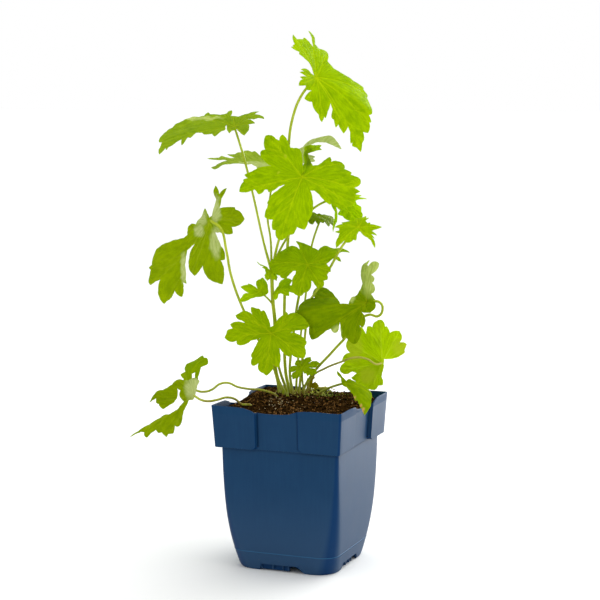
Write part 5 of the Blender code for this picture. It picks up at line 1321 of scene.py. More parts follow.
class Leaf:
    """A leaf laid out flat, lobe beside lobe, and the rule that carries each flat point into space."""

    def __init__(self, hub, lobes, drawn, seed):
        self.hub = from_picture(hub)
        self.drawn = list(zip(drawn[::2], drawn[1::2]))
        self.draw = random.Random(seed)
        self.lobes = [Lobe(self.hub, *lobe) for lobe in lobes]
        pairs = zip(self.lobes, self.lobes[1:])
        between = [first.aim.cross(second.aim).normalized() for first, second in pairs]
        for number, lobe in enumerate(self.lobes):
            beside = between[max(number - 1, 0) : number + 1]
            lobe.normal = sum(beside, Vector()).normalized()
            if number:
                before = self.lobes[number - 1]
                lobe.turn = before.turn + before.aim.angle(lobe.aim)
        self.squeeze = min(1.0, WIDEST_FAN / self.lobes[-1].turn)
        for lobe in self.lobes:
            lobe.turn *= self.squeeze
        self.sinus = math.pi * 2 - self.lobes[-1].turn

    def outline(self):
        """The leaf's edge, anticlockwise, as flat points: drawn, or lobes with teeth."""
        if self.drawn:
            return self.lay_out(self.drawn)
        points = [polar(self.lobes[-1].turn + self.sinus / 2, BEHIND_HUB * MM)]
        for number, lobe in enumerate(self.lobes):
            for side in (-1, 1):
                points += self.lobe_edge(number, lobe, side)
            if number + 1 < len(self.lobes):
                after = self.lobes[number + 1]
                share = lobe.half_width / (lobe.half_width + after.half_width)
                points.append(polar(lobe.turn + (after.turn - lobe.turn) * share, self.cut_reach(number)))
        return points

    def lay_out(self, drawn):
        """Flat points of an edge that was drawn as the viewer sees it."""
        flat = []
        turn = 0.0
        for seen in drawn:
            aimed = Vector(seen)
            turn, reach = self.under_sight(aimed, turn)
            for _ in range(LAYING_ROUNDS):
                aimed += Vector(seen) - sight_of(self.place(polar(turn, reach)))
                turn, reach = self.under_sight(aimed, turn)
            flat.append(polar(turn, reach))
        return flat

    def under_sight(self, seen, before):
        """The turn and reach, near the turn before, where a line of sight meets a plane between lobes."""
        eye = from_picture(EYE)
        ray = from_picture((seen.x, 0.0, seen.y)) - eye
        found = []
        last = len(self.lobes) - 2
        for number, (lobe, after) in enumerate(zip(self.lobes, self.lobes[1:])):
            normal = lobe.aim.cross(after.aim).normalized()
            reach = eye + ray * (normal.dot(self.hub - eye) / normal.dot(ray)) - self.hub
            turn = math.atan2(normal.dot(lobe.aim.cross(reach)), lobe.aim.dot(reach)) * self.squeeze
            low = -self.sinus / 2 if number == 0 else 0.0
            high = after.turn - lobe.turn + (self.sinus / 2 if number == last else 0.0)
            off = max(low - turn, turn - high, 0.0)
            turn = max(low, min(high, turn)) + lobe.turn
            far = max(0.0, reach.length / max(lobe.length, after.length) - 1.0)
            found.append((OFF_PLANE_COST * (off + far) + abs(turn - before), turn, reach.length))
        return min(found)[1:]

    def cut_reach(self, number):
        """How far from the hub the cut after this lobe ends, or nothing at the leaf's open base."""
        if not 0 <= number < len(self.lobes) - 1:
            return 0.0
        return SMALL_LEAF_CUT * min(self.lobes[number].length, self.lobes[number + 1].length)

    def room(self, number, side):
        """The angle that a lobe may fill on one side before it would meet its neighbour."""
        other = number + side
        if not 0 <= other < len(self.lobes):
            return self.sinus / 2
        lobe, beside = self.lobes[number], self.lobes[other]
        return abs(beside.turn - lobe.turn) * lobe.half_width / (lobe.half_width + beside.half_width)

    def lobe_edge(self, number, lobe, side):
        """One side of a lobe, from its base to its tip for the first side and back again for the second."""
        basal = not 0 <= number + side < len(self.lobes)
        shape = (BASAL_EDGE if basal else ()) + SMALL_LOBE_EDGE
        room = self.room(number, side)
        least = self.cut_reach(number if side > 0 else number - 1) * CLEAR_OF_CUT
        ahead = polar(lobe.turn, 1.0)
        edge = []
        for along, out in shape:
            along += self.draw.uniform(-1, 1) * ALONG_JITTER * (out > 0)
            out *= 1 + self.draw.uniform(-1, 1) * OUT_JITTER
            span = along * lobe.length
            wide = min(out * lobe.half_width, span * math.tan(min(room * ROOM_SHARE, WIDEST_ROOM)))
            if math.hypot(span, wide) > least or out == 0:
                edge.append(ahead * span + Vector((-ahead.y, ahead.x)) * side * wide)
        return edge if side < 0 else edge[-2::-1]

    def place(self, point):
        """Where a flat point lies in space: on a fan of lines from the hub, arched between hub and tip."""
        reach = point.length
        if reach < 1e-9:
            return self.hub.copy()
        turn = math.atan2(point.y, point.x) % (2 * math.pi)
        if turn > self.lobes[-1].turn + self.sinus / 2:
            turn -= 2 * math.pi
        if turn <= 0 or turn >= self.lobes[-1].turn:
            near = self.lobes[0] if turn <= 0 else self.lobes[-1]
            swing = Matrix.Rotation((turn - near.turn) / self.squeeze, 3, near.normal)
            aim, normal, length, arch = swing @ near.aim, near.normal, near.length, near.arch
        else:
            number = max(n for n, lobe in enumerate(self.lobes[:-1]) if lobe.turn <= turn)
            lobe, after = self.lobes[number], self.lobes[number + 1]
            share = (turn - lobe.turn) / (after.turn - lobe.turn)
            aim = lobe.aim.slerp(after.aim, share)
            eased = share * share * (3 - 2 * share)
            normal = lobe.normal.lerp(after.normal, eased).normalized()
            length = lobe.length + (after.length - lobe.length) * eased
            arch = lobe.arch + (after.arch - lobe.arch) * eased
            split = lobe.half_width / (lobe.half_width + after.half_width)
            near = lobe if share < split else after
        along = min(reach / length, 1.0)
        rise = arch * 4 * along * (1 - along)
        across = min(abs(math.sin(abs(turn - near.turn))) * reach / near.half_width, 1.0)
        droop = LOBE_DROOP * near.half_width * across * across * along
        return self.hub + aim * reach + normal * (rise - droop)


sample = Leaf(*PLANT["leaf_centre"][1][0], SEED)
print("the leaf in the centre fans out over", round(math.degrees(sample.lobes[-1].turn)), "degrees")

# %% [markdown]
# ## A leaf's edge and its veins
#
# Real teeth have curved flanks and sharp tips, so the drawn corners are joined by curves. Each lobe has a
# main vein from the hub to its foremost tooth, and side veins that leave it at an acute angle for the other
# teeth. Curves that are worked out from the teeth fit every leaf, so no vein has to be drawn by hand.

# %% Curved edges
EDGE_STEP = 1.0
SHARP_TURN = math.radians(55)
# How strongly the way at a corner bends the flank, and how far a flank bows outwards for its length.
FLANK_PULL = 0.8
FLANK_BOW = 0.05


def cross2(first, second):
    """Above 0 where the second way turns to the left of the first."""
    return first.x * second.y - first.y * second.x


def soften(outline):
    """The edge in short steps: gentle corners are rounded, sharp ones kept, and flanks bow outwards."""
    count = len(outline)
    ways = []
    for number, here in enumerate(outline):
        come = (here - outline[number - 1]).normalized()
        go = (outline[(number + 1) % count] - here).normalized()
        if come.angle(go) < SHARP_TURN:
            come = go = (come + go).normalized()
        ways.append((come, go))
    edge = []
    for number, here in enumerate(outline):
        after = outline[(number + 1) % count]
        span = after - here
        leave = ways[number][1] * span.length
        arrive = ways[(number + 1) % count][0] * span.length
        out = Vector((span.y, -span.x)) * FLANK_BOW
        steps = max(1, round(span.length / (EDGE_STEP * MM)))
        for step in range(steps):
            t = step / steps
            spot = here * (1 + 2 * t) * (1 - t) ** 2 + after * t * t * (3 - 2 * t)
            spot = spot + leave * t * (1 - t) ** 2 * FLANK_PULL + arrive * t * t * (t - 1) * FLANK_PULL
            edge.append(spot + out * 4 * t * (1 - t))
    return edge


print(len(soften(sample.outline())), "points round that leaf")

# %% Veins
# A corner that turns by more than TOOTH_TURN is a tooth, and belongs to a lobe within TOOTH_REACH of it.
TOOTH_TURN = math.radians(24)
TOOTH_REACH = 0.9
# Teeth this near to the main vein get no side vein.
BESIDE_VEIN = 1.2
VEIN_STEPS = 7
VEIN_LEAVE = 1.25
SIDE_VEIN = 0.55
VEIN_HALF = 0.5


def vein_route(start, bend, end):
    """A curve from start to end that is drawn towards the bend."""
    shares = np.linspace(0, 1, VEIN_STEPS + 1)
    return [start * (1 - t) ** 2 + bend * 2 * t * (1 - t) + end * t * t for t in shares]


def find_veins(leaf, outline):
    """Every vein's route on the flat leaf, with 1 for a main vein and a smaller number for a side vein."""
    count = len(outline)
    veined = [lobe for lobe in leaf.lobes if lobe.veined] or leaf.lobes
    teeth = [[] for _ in veined]
    for number, here in enumerate(outline):
        come, go = here - outline[number - 1], outline[(number + 1) % count] - here
        if cross2(come, go) > 0 and come.angle(go) > TOOTH_TURN:
            turn = math.atan2(here.y, here.x)
            away = [abs(math.remainder(turn - lobe.turn, 2 * math.pi)) for lobe in veined]
            if min(away) < TOOTH_REACH:
                teeth[away.index(min(away))].append(here)
    veins = []
    for lobe, tips in zip(veined, teeth):
        if not tips:
            continue
        ahead = polar(lobe.turn, 1.0)
        end = max(tips, key=lambda tip: tip.dot(ahead))
        axis = end.normalized()
        veins.append((vein_route(Vector((0, 0)), (ahead + axis) * end.length * 0.25, end), 1.0))
        for tip in tips:
            along, beside = tip.dot(axis), abs(cross2(axis, tip))
            if tip is end or beside < BESIDE_VEIN * MM:
                continue
            start = axis * max(0.1 * end.length, along - beside * VEIN_LEAVE)
            bend = start + axis * (along - start.length) * 0.35 + (tip - start) * 0.35
            veins.append((vein_route(start, bend, tip), SIDE_VEIN))
    return veins


def to_line(points, first, second):
    """How far along the line from first to second each flat point is, 0 to 1, and how far from it."""
    way = second - first
    share = np.clip((points - first) @ way / max(way @ way, 1e-15), 0, 1)
    return share, np.linalg.norm(points - first - share[:, None] * way, axis=1)


def along_veins(points, veins):
    """How strongly a vein marks each flat point, 0 to 1, and how far the nearest vein is, in metres."""
    mark = np.zeros(len(points))
    near = np.full(len(points), 1.0)
    for route, strength in veins:
        for step in range(VEIN_STEPS):
            share, away = to_line(points, np.array(route[step]), np.array(route[step + 1]))
            thin = 1 - 0.6 * (step + share) / VEIN_STEPS
            width = VEIN_HALF * MM * (0.5 + 0.5 * strength) * thin
            mark = np.maximum(mark, np.exp(-((away / width) ** 2)) * (0.35 + 0.65 * strength * thin))
            near = np.minimum(near, away)
    return mark, near


print(len(find_veins(sample, sample.outline())), "veins in that leaf")

# %% [markdown]
# ## A blade
#
# A blade is a thin skin, stretched between its veins. By hand one would fill the edge, subdivide it and
# sculpt the relief. Here the flat edge is filled with a fine net of triangles, which are carried into space
# and averaged, so that the creases between the lobes go. The relief follows: veins sunk, the skin between
# them a little puffed, the border waved. A Solidify modifier gives the sheet its thickness, and puts the
# underside's finish on its lower face.

# %% A net inside an edge
NET = 0.95


def edge_distance(points, edge):
    """How far each flat point is from the edge, and whether it is inside."""
    first = np.array(edge)
    second = np.roll(first, -1, axis=0)
    nearest = np.full(len(points), 1.0)
    crossings = np.zeros(len(points), int)
    for a, b in zip(first, second):
        nearest = np.minimum(nearest, to_line(points, a, b)[1])
        straddles = (a[1] > points[:, 1]) != (b[1] > points[:, 1])
        with np.errstate(divide="ignore", invalid="ignore"):
            at = a[0] + (points[:, 1] - a[1]) * (b[0] - a[0]) / (b[1] - a[1])
        crossings += straddles & (points[:, 0] < at)
    return nearest, crossings % 2 == 1


def net_points(edge):
    """A net of points inside the edge, in rows set off by half a step."""
    low, high = np.min(edge, axis=0), np.max(edge, axis=0)
    rows = np.arange(low[1], high[1], NET * MM * 0.866)
    net = []
    for number, y in enumerate(rows):
        shift = NET * MM * 0.5 * (number % 2)
        net += [(x, y) for x in np.arange(low[0] + shift, high[0], NET * MM)]
    net = np.array(net)
    far, within = edge_distance(net, edge)
    return net[within & (far > 0.6 * NET * MM)]


print(len(net_points(soften(sample.outline()))), "points in that leaf's net")

# %% Averaging and relief
SMOOTHING_ROUNDS = 14
SMOOTHING_SHARE = 0.6
VEIN_DEPTH = 0.4
# The skin is puffed by PUFF, but not in the bed of a vein or near the border, which is waved by WAVE.
PUFF, VEIN_BED, BORDER = 0.42, 1.9, 3.0
WAVE = 0.55 * 1.6
# Noise over the whole leaf: size and height of its rolling and of its ripples.
ROLLING = (9.0, 0.5)
RIPPLES = (3.2, 0.14)


def averaged(places, faces, hold):
    """The places after rounds of averaging with their neighbours, less so where the hold is strong."""
    ends = np.concatenate([faces[:, [0, 1]], faces[:, [1, 2]], faces[:, [2, 0]]])
    ends = np.unique(np.sort(ends, axis=1), axis=0)
    count = np.bincount(ends.ravel(), minlength=len(places))[:, None]
    for _ in range(SMOOTHING_ROUNDS):
        total = np.zeros_like(places)
        np.add.at(total, ends[:, 0], places[ends[:, 1]])
        np.add.at(total, ends[:, 1], places[ends[:, 0]])
        places = places + (total / count - places) * SMOOTHING_SHARE * (1 - hold[:, None])
    return places


def point_normals(places, faces):
    """The way that the sheet faces at each point."""
    a, b, c = (places[faces[:, corner]] for corner in range(3))
    ways = np.cross(b - a, c - a)
    normals = np.zeros_like(places)
    for corner in range(3):
        np.add.at(normals, faces[:, corner], ways)
    return normals / np.maximum(np.linalg.norm(normals, axis=1), 1e-12)[:, None]


def relief(flat, far, near, mark, leaf, seed):
    """How far each point is lifted from the plain sheet."""
    longest = max(lobe.length for lobe in leaf.lobes)
    reach = np.linalg.norm(flat, axis=1) / longest
    border = np.exp(-((far / (BORDER * MM)) ** 2))
    puff = PUFF * (1 - np.exp(-((near / (VEIN_BED * MM)) ** 2))) * (1 - border)
    rolling, rippled = (
        np.array([noise.noise(Vector((x, y, seed * MM)) / (size * MM)) for x, y in flat])
        for size, _ in (ROLLING, RIPPLES)
    )
    even = ROLLING[1] * rolling + RIPPLES[1] * rippled
    return (puff - VEIN_DEPTH * mark + WAVE * rolling * border * reach + even) * MM


print("veins lie", VEIN_DEPTH, "mm deep")

# %% Marks on a blade
MARK_KINDS = ("yellowed", "browned", "ochre", "pale", "shaded")
# A mark's edge is frayed by noise: its size and height.
FRAY = (4.0, 2.0)


def spots_of(places, marks):
    """How strongly each kind of mark shows at each point, by the marks that the viewer sees on this leaf."""
    found = {kind: np.zeros(len(places)) for kind in MARK_KINDS}
    if marks:
        size, high = FRAY
        seen = np.array([sight_of(Vector(spot)) for spot in places])
        seen = seen + [[noise.noise(Vector((x, y, z)) / size) * high for z in (3.0, 9.0)] for x, y in seen]
    for kind, across, up, wide, high in marks:
        away = np.hypot((seen[:, 0] - across) / wide, (seen[:, 1] - up) / high)
        found[kind] = np.maximum(found[kind], np.clip((1.4 - away) * 1.7, 0, 1))
    return found


print("kinds of marks:", ", ".join(MARK_KINDS))

# %% One blade
BLADE_THICK = 0.42
# How wide the band is in which the edge holds its place, and how wide the paler rim is.
HOLD, RIM = 1.6, 0.55
# The flat leaf's coordinates are its place in metres, times this, with the hub in the middle.
FLAT_SCALE = 5


def make_blade(leaf, tone_and_painted_light, pale, marks, seed):
    """One leaf's blade, with its numbers for the finish written on its points."""
    outline = leaf.outline()
    edge = soften(outline)
    points = [Vector(spot) / MM for spot in edge] + [Vector(spot) / MM for spot in net_points(edge)]
    flat, _, faces, _, _, _ = delaunay_2d_cdt(points, [], [list(range(len(edge)))], 1, 1e-4)
    faces = np.array(faces)
    flat = np.array([spot * MM for spot in flat])
    far, _ = edge_distance(flat, edge)
    mark, near = along_veins(flat, find_veins(leaf, outline))
    places = np.array([leaf.place(Vector(spot)) for spot in flat])
    places = averaged(places, faces, np.exp(-far / (HOLD * MM)))
    places += point_normals(places, faces) * relief(flat, far, near, mark, leaf, seed)[:, None]
    mesh = bpy.data.meshes.new("blade")
    mesh.from_pydata(places.tolist(), [], faces.tolist())
    lay_flat(mesh, flat, math.pi - leaf.lobes[-1].turn - leaf.sinus / 2)
    # The tone is each leaf's own tint together with its painted light and shade.
    written = {"vein": mark, "rim": np.exp(-((far / (RIM * MM)) ** 2)), "tone_and_painted_light": np.full(len(flat), tone_and_painted_light)}
    written.update(spots_of(places, marks))
    written["pale"] = np.maximum(written["pale"], pale)
    for name, values in written.items():
        write_on(mesh, name, values.astype(np.float32))
    for finish in (leaf_top, leaf_under):
        mesh.materials.append(finish)
    blade = link("blade", mesh)
    use_only(blade)
    solidify = blade.modifiers.new("thickness", "SOLIDIFY")
    solidify.thickness = BLADE_THICK * MM
    solidify.offset = 0.0
    solidify.material_offset = 1
    bpy.ops.object.modifier_apply(modifier=solidify.name)
    return blade


def lay_flat(mesh, flat, spin):
    """Writes the flat leaf as a UV map, spun so that the seam of its angles lies in the open base."""
    uv = mesh.uv_layers.new(name="flat leaf")
    corners = np.empty(len(mesh.loops), int)
    mesh.loops.foreach_get("vertex_index", corners)
    spun = flat @ np.array([[math.cos(spin), math.sin(spin)], [-math.sin(spin), math.cos(spin)]])
    uv.data.foreach_set("uv", (spun[corners] * FLAT_SCALE + 0.5).ravel())


print("blades are", BLADE_THICK, "mm thick")

# %% [markdown]
# ## Stalks
#
# A stalk is a slim round rod that bends as it grows. A curve with a round, tapering bevel, turned into a
# mesh, is what one would make by hand too. Stalks are thicker where they leave the peat, as real ones have
# sheaths there.

# %% Stalks
# The finer stalk's radii as shares of those in the table, which are the CAD part's.
FOOT_SHARE, TOP_SHARE = 0.85, 1.25
# How much thicker a stalk is in the peat, next to that, and where it leaves a stem.
SHEATH, ABOVE_SHEATH, FORK = 1.15, 1.1, 1.25
# A stalk narrows to a share of its radius over the last bit before the blade.
END_LENGTH, END_SHARE = 2.4, 0.4


def make_stalk(stalk, ruddy=0.0):
    """One stalk as a mesh. Ruddy is how reddish brown it is, 0 to 1."""
    foot, top, route = stalk
    spots = [from_picture(spot) for spot in route]
    last = len(spots) - 1
    foot, top = foot * FOOT_SHARE, top * TOP_SHARE
    radii = [foot + (top - foot) * number / last for number in range(last + 1)]
    from_ground = route[0][2] < SOIL_EDGE
    radii[0] *= SHEATH if from_ground else FORK
    if from_ground:
        radii[1] *= ABOVE_SHEATH
    near_end = spots[-1] + (spots[-2] - spots[-1]).normalized() * END_LENGTH * MM
    spots.insert(-1, near_end)
    radii = radii[:-1] + [radii[-1], radii[-1] * END_SHARE]
    bpy.ops.curve.primitive_bezier_curve_add()
    obj = bpy.context.object
    curve = obj.data
    curve.dimensions = "3D"
    curve.bevel_depth = MM
    curve.bevel_resolution = 2
    curve.resolution_u = 7
    curve.use_fill_caps = True
    spline = curve.splines[0]
    spline.bezier_points.add(len(spots) - len(spline.bezier_points))
    for point, spot, radius in zip(spline.bezier_points, spots, radii):
        point.co = spot
        point.handle_left_type = point.handle_right_type = "AUTO"
        point.radius = radius
    bpy.ops.object.convert(target="MESH")
    obj = bpy.context.object
    bpy.ops.object.mode_set(mode="EDIT")
    bpy.ops.mesh.select_all(action="SELECT")
    bpy.ops.mesh.remove_doubles(threshold=1e-6)
    face_outwards()
    write_on(obj.data, "ruddy", [ruddy] * len(obj.data.vertices))
    obj.data.materials.clear()
    obj.data.materials.append(stalk_green)
    return obj


print(sum(len(stalks) for stalks, _ in PLANT.values()), "stalks in the table")

# %% [markdown]
# ## Green finishes
#
# Light comes through a young leaf, so its finish is a Principled shader mixed with a Translucent one. The
# Translucent one has one even colour, and what changes from leaf to leaf is how much of it is mixed in. The
# top is yellow-green with paler veins; the underside is duller and paler.

# %% Leaf finish
SHINES_THROUGH = 0.25
YELLOWED = colour(212, 228, 44)
BROWNED = colour(226, 172, 96)
OCHRE = colour(172, 130, 20)
SHADED = colour(70, 96, 0)


def make_leaf_finish(name, deep, light, vein_colour, pale, through, show_vein):
    """A leaf's green, changed by the numbers on its points: veins, rim, a tone that also paints each leaf's
    light and shade, and the kinds of marks, one of them painted shade.
    """
    leaf = Finish(name, IOR=1.4, Specular_IOR_Level=0.02)
    where, _ = leaf.place()
    flat = leaf.node("ShaderNodeUVMap", {"uv_map": "flat leaf"})
    x, y = (leaf.node("ShaderNodeSeparateXYZ", {}, [flat], output=axis) - 0.5 for axis in (0, 1))
    away = (x * x + y * y) ** 0.5
    fan = leaf.node("ShaderNodeCombineXYZ", {}, [x.maths("ARCTAN2", y, x) * 16, away * 22])
    ray = leaf.between(leaf.speckle(fan, 1.0, 3.0), 0.34, 0.66)
    edges = {"feature": "DISTANCE_TO_EDGE"}
    net = leaf.node("ShaderNodeTexVoronoi", edges, {"Vector": flat, "Scale": 95.0})
    cells = 1 - leaf.between(net, 0.0, 0.10)
    mottle = leaf.speckle(where, 75.0, 4.0)
    grain = leaf.speckle(flat, 420.0, 3.0)
    green = leaf.mix(leaf.between(mottle, 0.3, 0.7) * 0.4 + ray * 0.6, deep, light)
    green = leaf.mix(leaf.between(grain, 0.45, 0.8) * 0.14, green, light)
    green = leaf.mix(cells * 0.10, green, vein_colour)
    green = leaf.mix(leaf.marked("vein") * show_vein, green, vein_colour)
    green = leaf.mix(leaf.marked("rim") * 0.2, green, vein_colour)
    scaled = {"operation": "SCALE"}
    # The tone scales the green, and so also paints each leaf's light and shade.
    green = leaf.node("ShaderNodeVectorMath", scaled, {0: green, "Scale": leaf.marked("tone_and_painted_light")})
    green = leaf.mix(leaf.marked("pale") * (0.55 + 0.45 * ray), green, pale)
    green = leaf.mix(leaf.marked("shaded") * 0.6, green, SHADED)
    green = leaf.mix(leaf.marked("yellowed") * 0.75, green, YELLOWED)
    green = leaf.mix(leaf.marked("ochre") * (0.3 + 0.7 * ray), green, OCHRE)
    green = leaf.mix(leaf.marked("browned"), green, BROWNED)
    leaf.wear("Base Color", green)
    leaf.wear("Roughness", 0.55 + mottle * 0.14)
    leaf.bump(cells * -0.6 + grain * 0.5 + ray, 0.22, 0.7)
    lit = leaf.node("ShaderNodeBsdfTranslucent", {}, {"Color": through})
    share = (0.35 + 0.65 * leaf.marked("tone_and_painted_light")) * (1 - 0.5 * leaf.marked("pale")) * SHINES_THROUGH
    plain = Wire(leaf, leaf.shader.outputs[0])
    both = leaf.node("ShaderNodeMixShader", {}, {0: share, 1: plain, 2: lit})
    leaf.tree.links.new(both.socket, leaf.tree.nodes["Material Output"].inputs[0])
    return leaf.material


leaf_top = make_leaf_finish(
    "leaf top", colour(132, 172, 0), colour(176, 210, 0), vein_colour=colour(210, 230, 16),
    pale=colour(196, 212, 112), through=colour(167, 200, 0), show_vein=0.8,
)
leaf_under = make_leaf_finish(
    "leaf underside", colour(138, 168, 0), colour(172, 198, 0), vein_colour=colour(198, 214, 50),
    pale=colour(206, 218, 140), through=colour(165, 191, 0), show_vein=0.5,
)
print("nodes in", leaf_top.name + ":", len(leaf_top.node_tree.nodes))


# %% Stalk finish
def make_stalk_finish():
    """Yellow-green with paler streaks, and brown spots at the foot."""
    stalk = Finish("stalk", Roughness=0.5, IOR=1.42, Specular_IOR_Level=0.06)
    where, height = stalk.place()
    drawn_out = stalk.node("ShaderNodeMapping", {}, {"Vector": where, "Scale": (1.0, 1.0, 0.12)})
    streak = stalk.speckle(drawn_out, 900.0, 3.0)
    cloud = stalk.speckle(where, 60.0, 3.0)
    green = stalk.mix(stalk.between(cloud, 0.3, 0.7), colour(152, 172, 12), colour(188, 200, 56))
    green = stalk.mix(stalk.between(streak, 0.4, 0.7) * 0.3, green, colour(206, 214, 104))
    low = 1 - stalk.between(height, 0.156, 0.176)
    green = stalk.mix(low * 0.6 * stalk.between(streak, 0.42, 0.6), green, colour(196, 196, 112))
    foot = (1 - stalk.between(height, 0.152, 0.166)) * stalk.between(cloud, 0.42, 0.58)
    green = stalk.mix(foot * 0.75, green, colour(120, 76, 34))
    green = stalk.mix(stalk.marked("ruddy"), green, colour(184, 154, 100))
    stalk.wear("Base Color", green)
    stalk.bump(streak, 0.1, 0.5)
    return stalk.material


stalk_green = make_stalk_finish()
print("nodes in", stalk_green.name + ":", len(stalk_green.node_tree.nodes))

# %% [markdown]
# ## The whole plant
#
# Every row of the plant's table becomes one piece: its stalks and blades are made and joined. Tones set
# how bright each leaf is: partly its own tint, partly painted light and shade where a leaf faces the light
# or is turned away from it. Marks give the pale or yellowed parts, the scorched edge that a few leaves have
# and patches of painted shade. As lists they can be changed for one leaf without touching the others, as
# painting would.

# %% How each leaf differs
# Each leaf's tone: its own tint, and painted light and shade, brighter where a leaf faces the light and
# darker where it is turned away or shaded.
TONES_AND_PAINTED_LIGHT = {"main_shoot": (0.74, 0.98, 1.18, 1.52, 1.2, 1.38, 1.24), "second_shoot": (1.18, 1.0),
         "leaf_right_dark": (0.63,), "leaf_centre": (0.95,), "leaf_back_small": (0.5,), "leaf_front": (0.87,),
         "leaf_right_light": (1.1,), "leaf_right_low": (1.6,), "leaf_left_hanging": (0.92,),
         "leaf_over_rim": (0.73,), "leaf_left_low_near": (0.74,), "leaf_left_low_far": (0.79,),
         "leaf_base_small": (0.9,), "leaf_withered": (0.7,)}
# How pale and sage-like a leaf is all over, and how reddish brown a stalk is.
PALE = {("main_shoot", 0): 0.05, ("main_shoot", 1): 0.2, ("second_shoot", 1): 1.0}
RUDDY = {"leaf_right_low": 0.4}
# Marks that the viewer sees, by shoot and leaf: kind, place across and up on the upright plane through the
# pot's middle, and half the size across and up.
MARKS = {
    ("main_shoot", 0): (("pale", -93.0, 419.5, 17.0, 1.6),),
    ("main_shoot", 1): (("pale", -48.0, 376.0, 18.0, 3.0),),
    ("main_shoot", 2): (("yellowed", -15.3, 385.0, 1.0, 1.4), ("yellowed", -20.8, 370.0, 1.1, 0.9),
                        ("shaded", 7.0, 384.0, 3.4, 9.0)),
    ("leaf_left_hanging", 0): (("pale", -80.0, 335.0, 4.0, 12.0), ("pale", -93.0, 327.0, 4.5, 7.0),
                               ("pale", -80.0, 304.0, 4.5, 13.0), ("pale", -110.0, 280.0, 2.6, 12.0),
                               ("pale", -96.0, 315.0, 4.0, 5.0)),
    ("leaf_right_dark", 0): (("pale", 66.0, 273.0, 10.0, 17.0), ("pale", 33.0, 220.0, 4.0, 5.0),
                             ("pale", 48.0, 250.0, 2.4, 3.0)),
    ("leaf_right_low", 0): (("yellowed", 50.0, 204.0, 7.0, 12.0), ("yellowed", 96.0, 205.0, 9.0, 7.0),
                            ("yellowed", 63.0, 178.0, 7.0, 7.0)),
    ("leaf_left_low_near", 0): (("pale", -101.0, 165.0, 8.0, 10.0),),
    ("leaf_over_rim", 0): (("browned", 50.5, 156.5, 1.0, 1.4), ("browned", 53.5, 152.5, 0.8, 1.8),
                           ("browned", 56.0, 148.2, 0.8, 2.0), ("browned", 58.8, 143.6, 0.9, 2.2),
                           ("shaded", 61.5, 170.5, 2.6, 1.6), ("pale", 65.5, 165.0, 1.6, 2.6)),
    ("leaf_withered", 0): (("ochre", 13.0, 168.0, 30.0, 30.0),),
}
print("leaves with marks:", len(MARKS))


# %% Joining stalks and blades
def build_shoot(name, stalks, leaves, first_seed):
    """All stalks and blades of one row of the table, as one piece in the place of its CAD node."""
    made = [make_stalk(stalk, RUDDY.get(name, 0.0)) for stalk in stalks]
    for number, (hub, lobes, drawn) in enumerate(leaves):
        seed, which = first_seed + number, (name, number)
        leaf = Leaf(hub, lobes, drawn, seed)
        made.append(make_blade(leaf, TONES_AND_PAINTED_LIGHT[name][number], PALE.get(which, 0.0), MARKS.get(which, ()), seed))
    use_only(made[0])
    for piece in made:
        piece.select_set(True)
    bpy.ops.object.join()
    finish_piece(made[0], "fine_" + name, name, None, 60.0)


for number, (name, (stalks, leaves)) in enumerate(PLANT.items()):
    build_shoot(name, stalks, leaves, SEED + 10 * number)

# %% [markdown]
# ## Studio
#
# A studio with a white floor and walls: a soft sun from above and an even surround. A large lamp behind on
# the right is seen in reflections only, and gives the pot's right side its sheen; a faint one next to it
# shines through the leaves. Each has one task, so it can be set without changing the others. The camera
# stands where the photograph's did.

# %% Floor
def add_floor():
    """A wide floor of pale paper, which is stage and no part of the object."""
    bpy.ops.mesh.primitive_plane_add(size=80.0)
    floor = bpy.context.object
    floor.name = "studio_floor"
    paper = Finish("floor paper", Roughness=0.8)
    where, _ = paper.place()
    tint = paper.mix(paper.speckle(where, 3.0), colour(238, 240, 238), colour(244, 245, 244))
    paper.wear("Base Color", tint)
    floor.data.materials.append(paper.material)
    print("floor:", floor.name)


add_floor()

# %% Light
SURROUND = 0.8
SUN_FROM, SUN_POWER, SUN_SPREAD_DEG = (350, 100, 1000), 1.4, 70
LAMP_TARGET = (0.0, 0.0, 0.25)
LAMP_SIZE = 1.6
SHEEN_FROM, SHEEN_POWER = (1250, 1350, 500), 185.0
BACK_LIGHT_FROM, BACK_LIGHT_POWER = (1250, 1350, 900), 10.0


def add_sun():
    """A very soft sun from above and a little from the right, so that the floor is lit evenly."""
    data = bpy.data.lights.new("sun", "SUN")
    data.energy = SUN_POWER
    data.angle = math.radians(SUN_SPREAD_DEG)
    sun = link("sun", data)
    way = from_picture(SUN_FROM).normalized()
    sun.rotation_euler = way.to_track_quat("Z", "Y").to_euler()


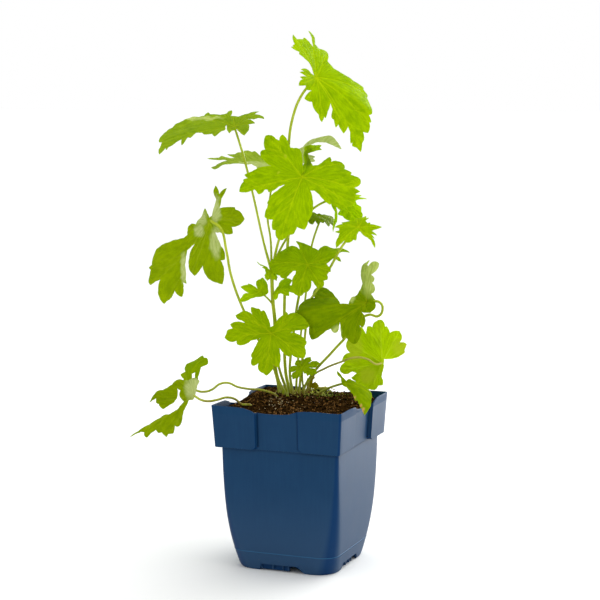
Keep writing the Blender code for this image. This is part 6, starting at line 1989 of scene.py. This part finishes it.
def add_lamp(name, spot, power):
    """A square lamp that faces the plant, placed across, back and up in the picture."""
    data = bpy.data.lights.new(name, "AREA")
    data.size = LAMP_SIZE
    data.energy = power
    lamp = link(name, data)
    lamp.location = from_picture(spot)
    aim = Vector(LAMP_TARGET) - lamp.location
    lamp.rotation_euler = aim.to_track_quat("-Z", "Y").to_euler()
    return lamp


def light_surround():
    """White where the camera looks past the plant, and a little dimmer as a source of light."""
    world = bpy.data.worlds.new("studio")
    bpy.context.scene.world = world
    world.use_nodes = True
    nodes, links = world.node_tree.nodes, world.node_tree.links
    background = nodes["Background"]
    background.inputs["Color"].default_value = (1.0, 1.0, 1.0, 1.0)
    background.inputs["Strength"].default_value = SURROUND
    seen = nodes.new("ShaderNodeBackground")
    seen.inputs["Color"].default_value = (1.0, 1.0, 1.0, 1.0)
    path = nodes.new("ShaderNodeLightPath")
    either = nodes.new("ShaderNodeMixShader")
    links.new(path.outputs["Is Camera Ray"], either.inputs[0])
    links.new(background.outputs[0], either.inputs[1])
    links.new(seen.outputs[0], either.inputs[2])
    links.new(either.outputs[0], nodes["World Output"].inputs[0])


light_surround()
add_sun()
sheen = add_lamp("sheen", SHEEN_FROM, SHEEN_POWER)
sheen.visible_diffuse = sheen.visible_transmission = False
add_lamp("back light", BACK_LIGHT_FROM, BACK_LIGHT_POWER)
print("lights:", ", ".join(light.name for light in bpy.data.lights))

# %% Camera
CAMERA_HEIGHT_DEG = 6.9
CAMERA_DISTANCE = 1.6
CAMERA_LENS = 102.1
TARGET = (-1.2, 0.0, 249.7)


def add_camera():
    """A camera that looks at the target from the front of the picture and a little above."""
    azimuth, height = math.radians(PICTURE_TURN_DEG), math.radians(CAMERA_HEIGHT_DEG)
    level = math.cos(height)
    back = Vector((math.sin(azimuth) * level, -math.cos(azimuth) * level, math.sin(height)))
    data = bpy.data.cameras.new("camera")
    data.lens = CAMERA_LENS
    data.sensor_width = 36.0
    camera = link("camera", data)
    camera.location = from_picture(TARGET) + back * CAMERA_DISTANCE
    camera.rotation_euler = back.to_track_quat("Z", "Y").to_euler()
    bpy.context.scene.camera = camera


add_camera()
bpy.context.scene.view_settings.view_transform = "Standard"
print("camera at", [round(value, 3) for value in bpy.context.scene.camera.location])
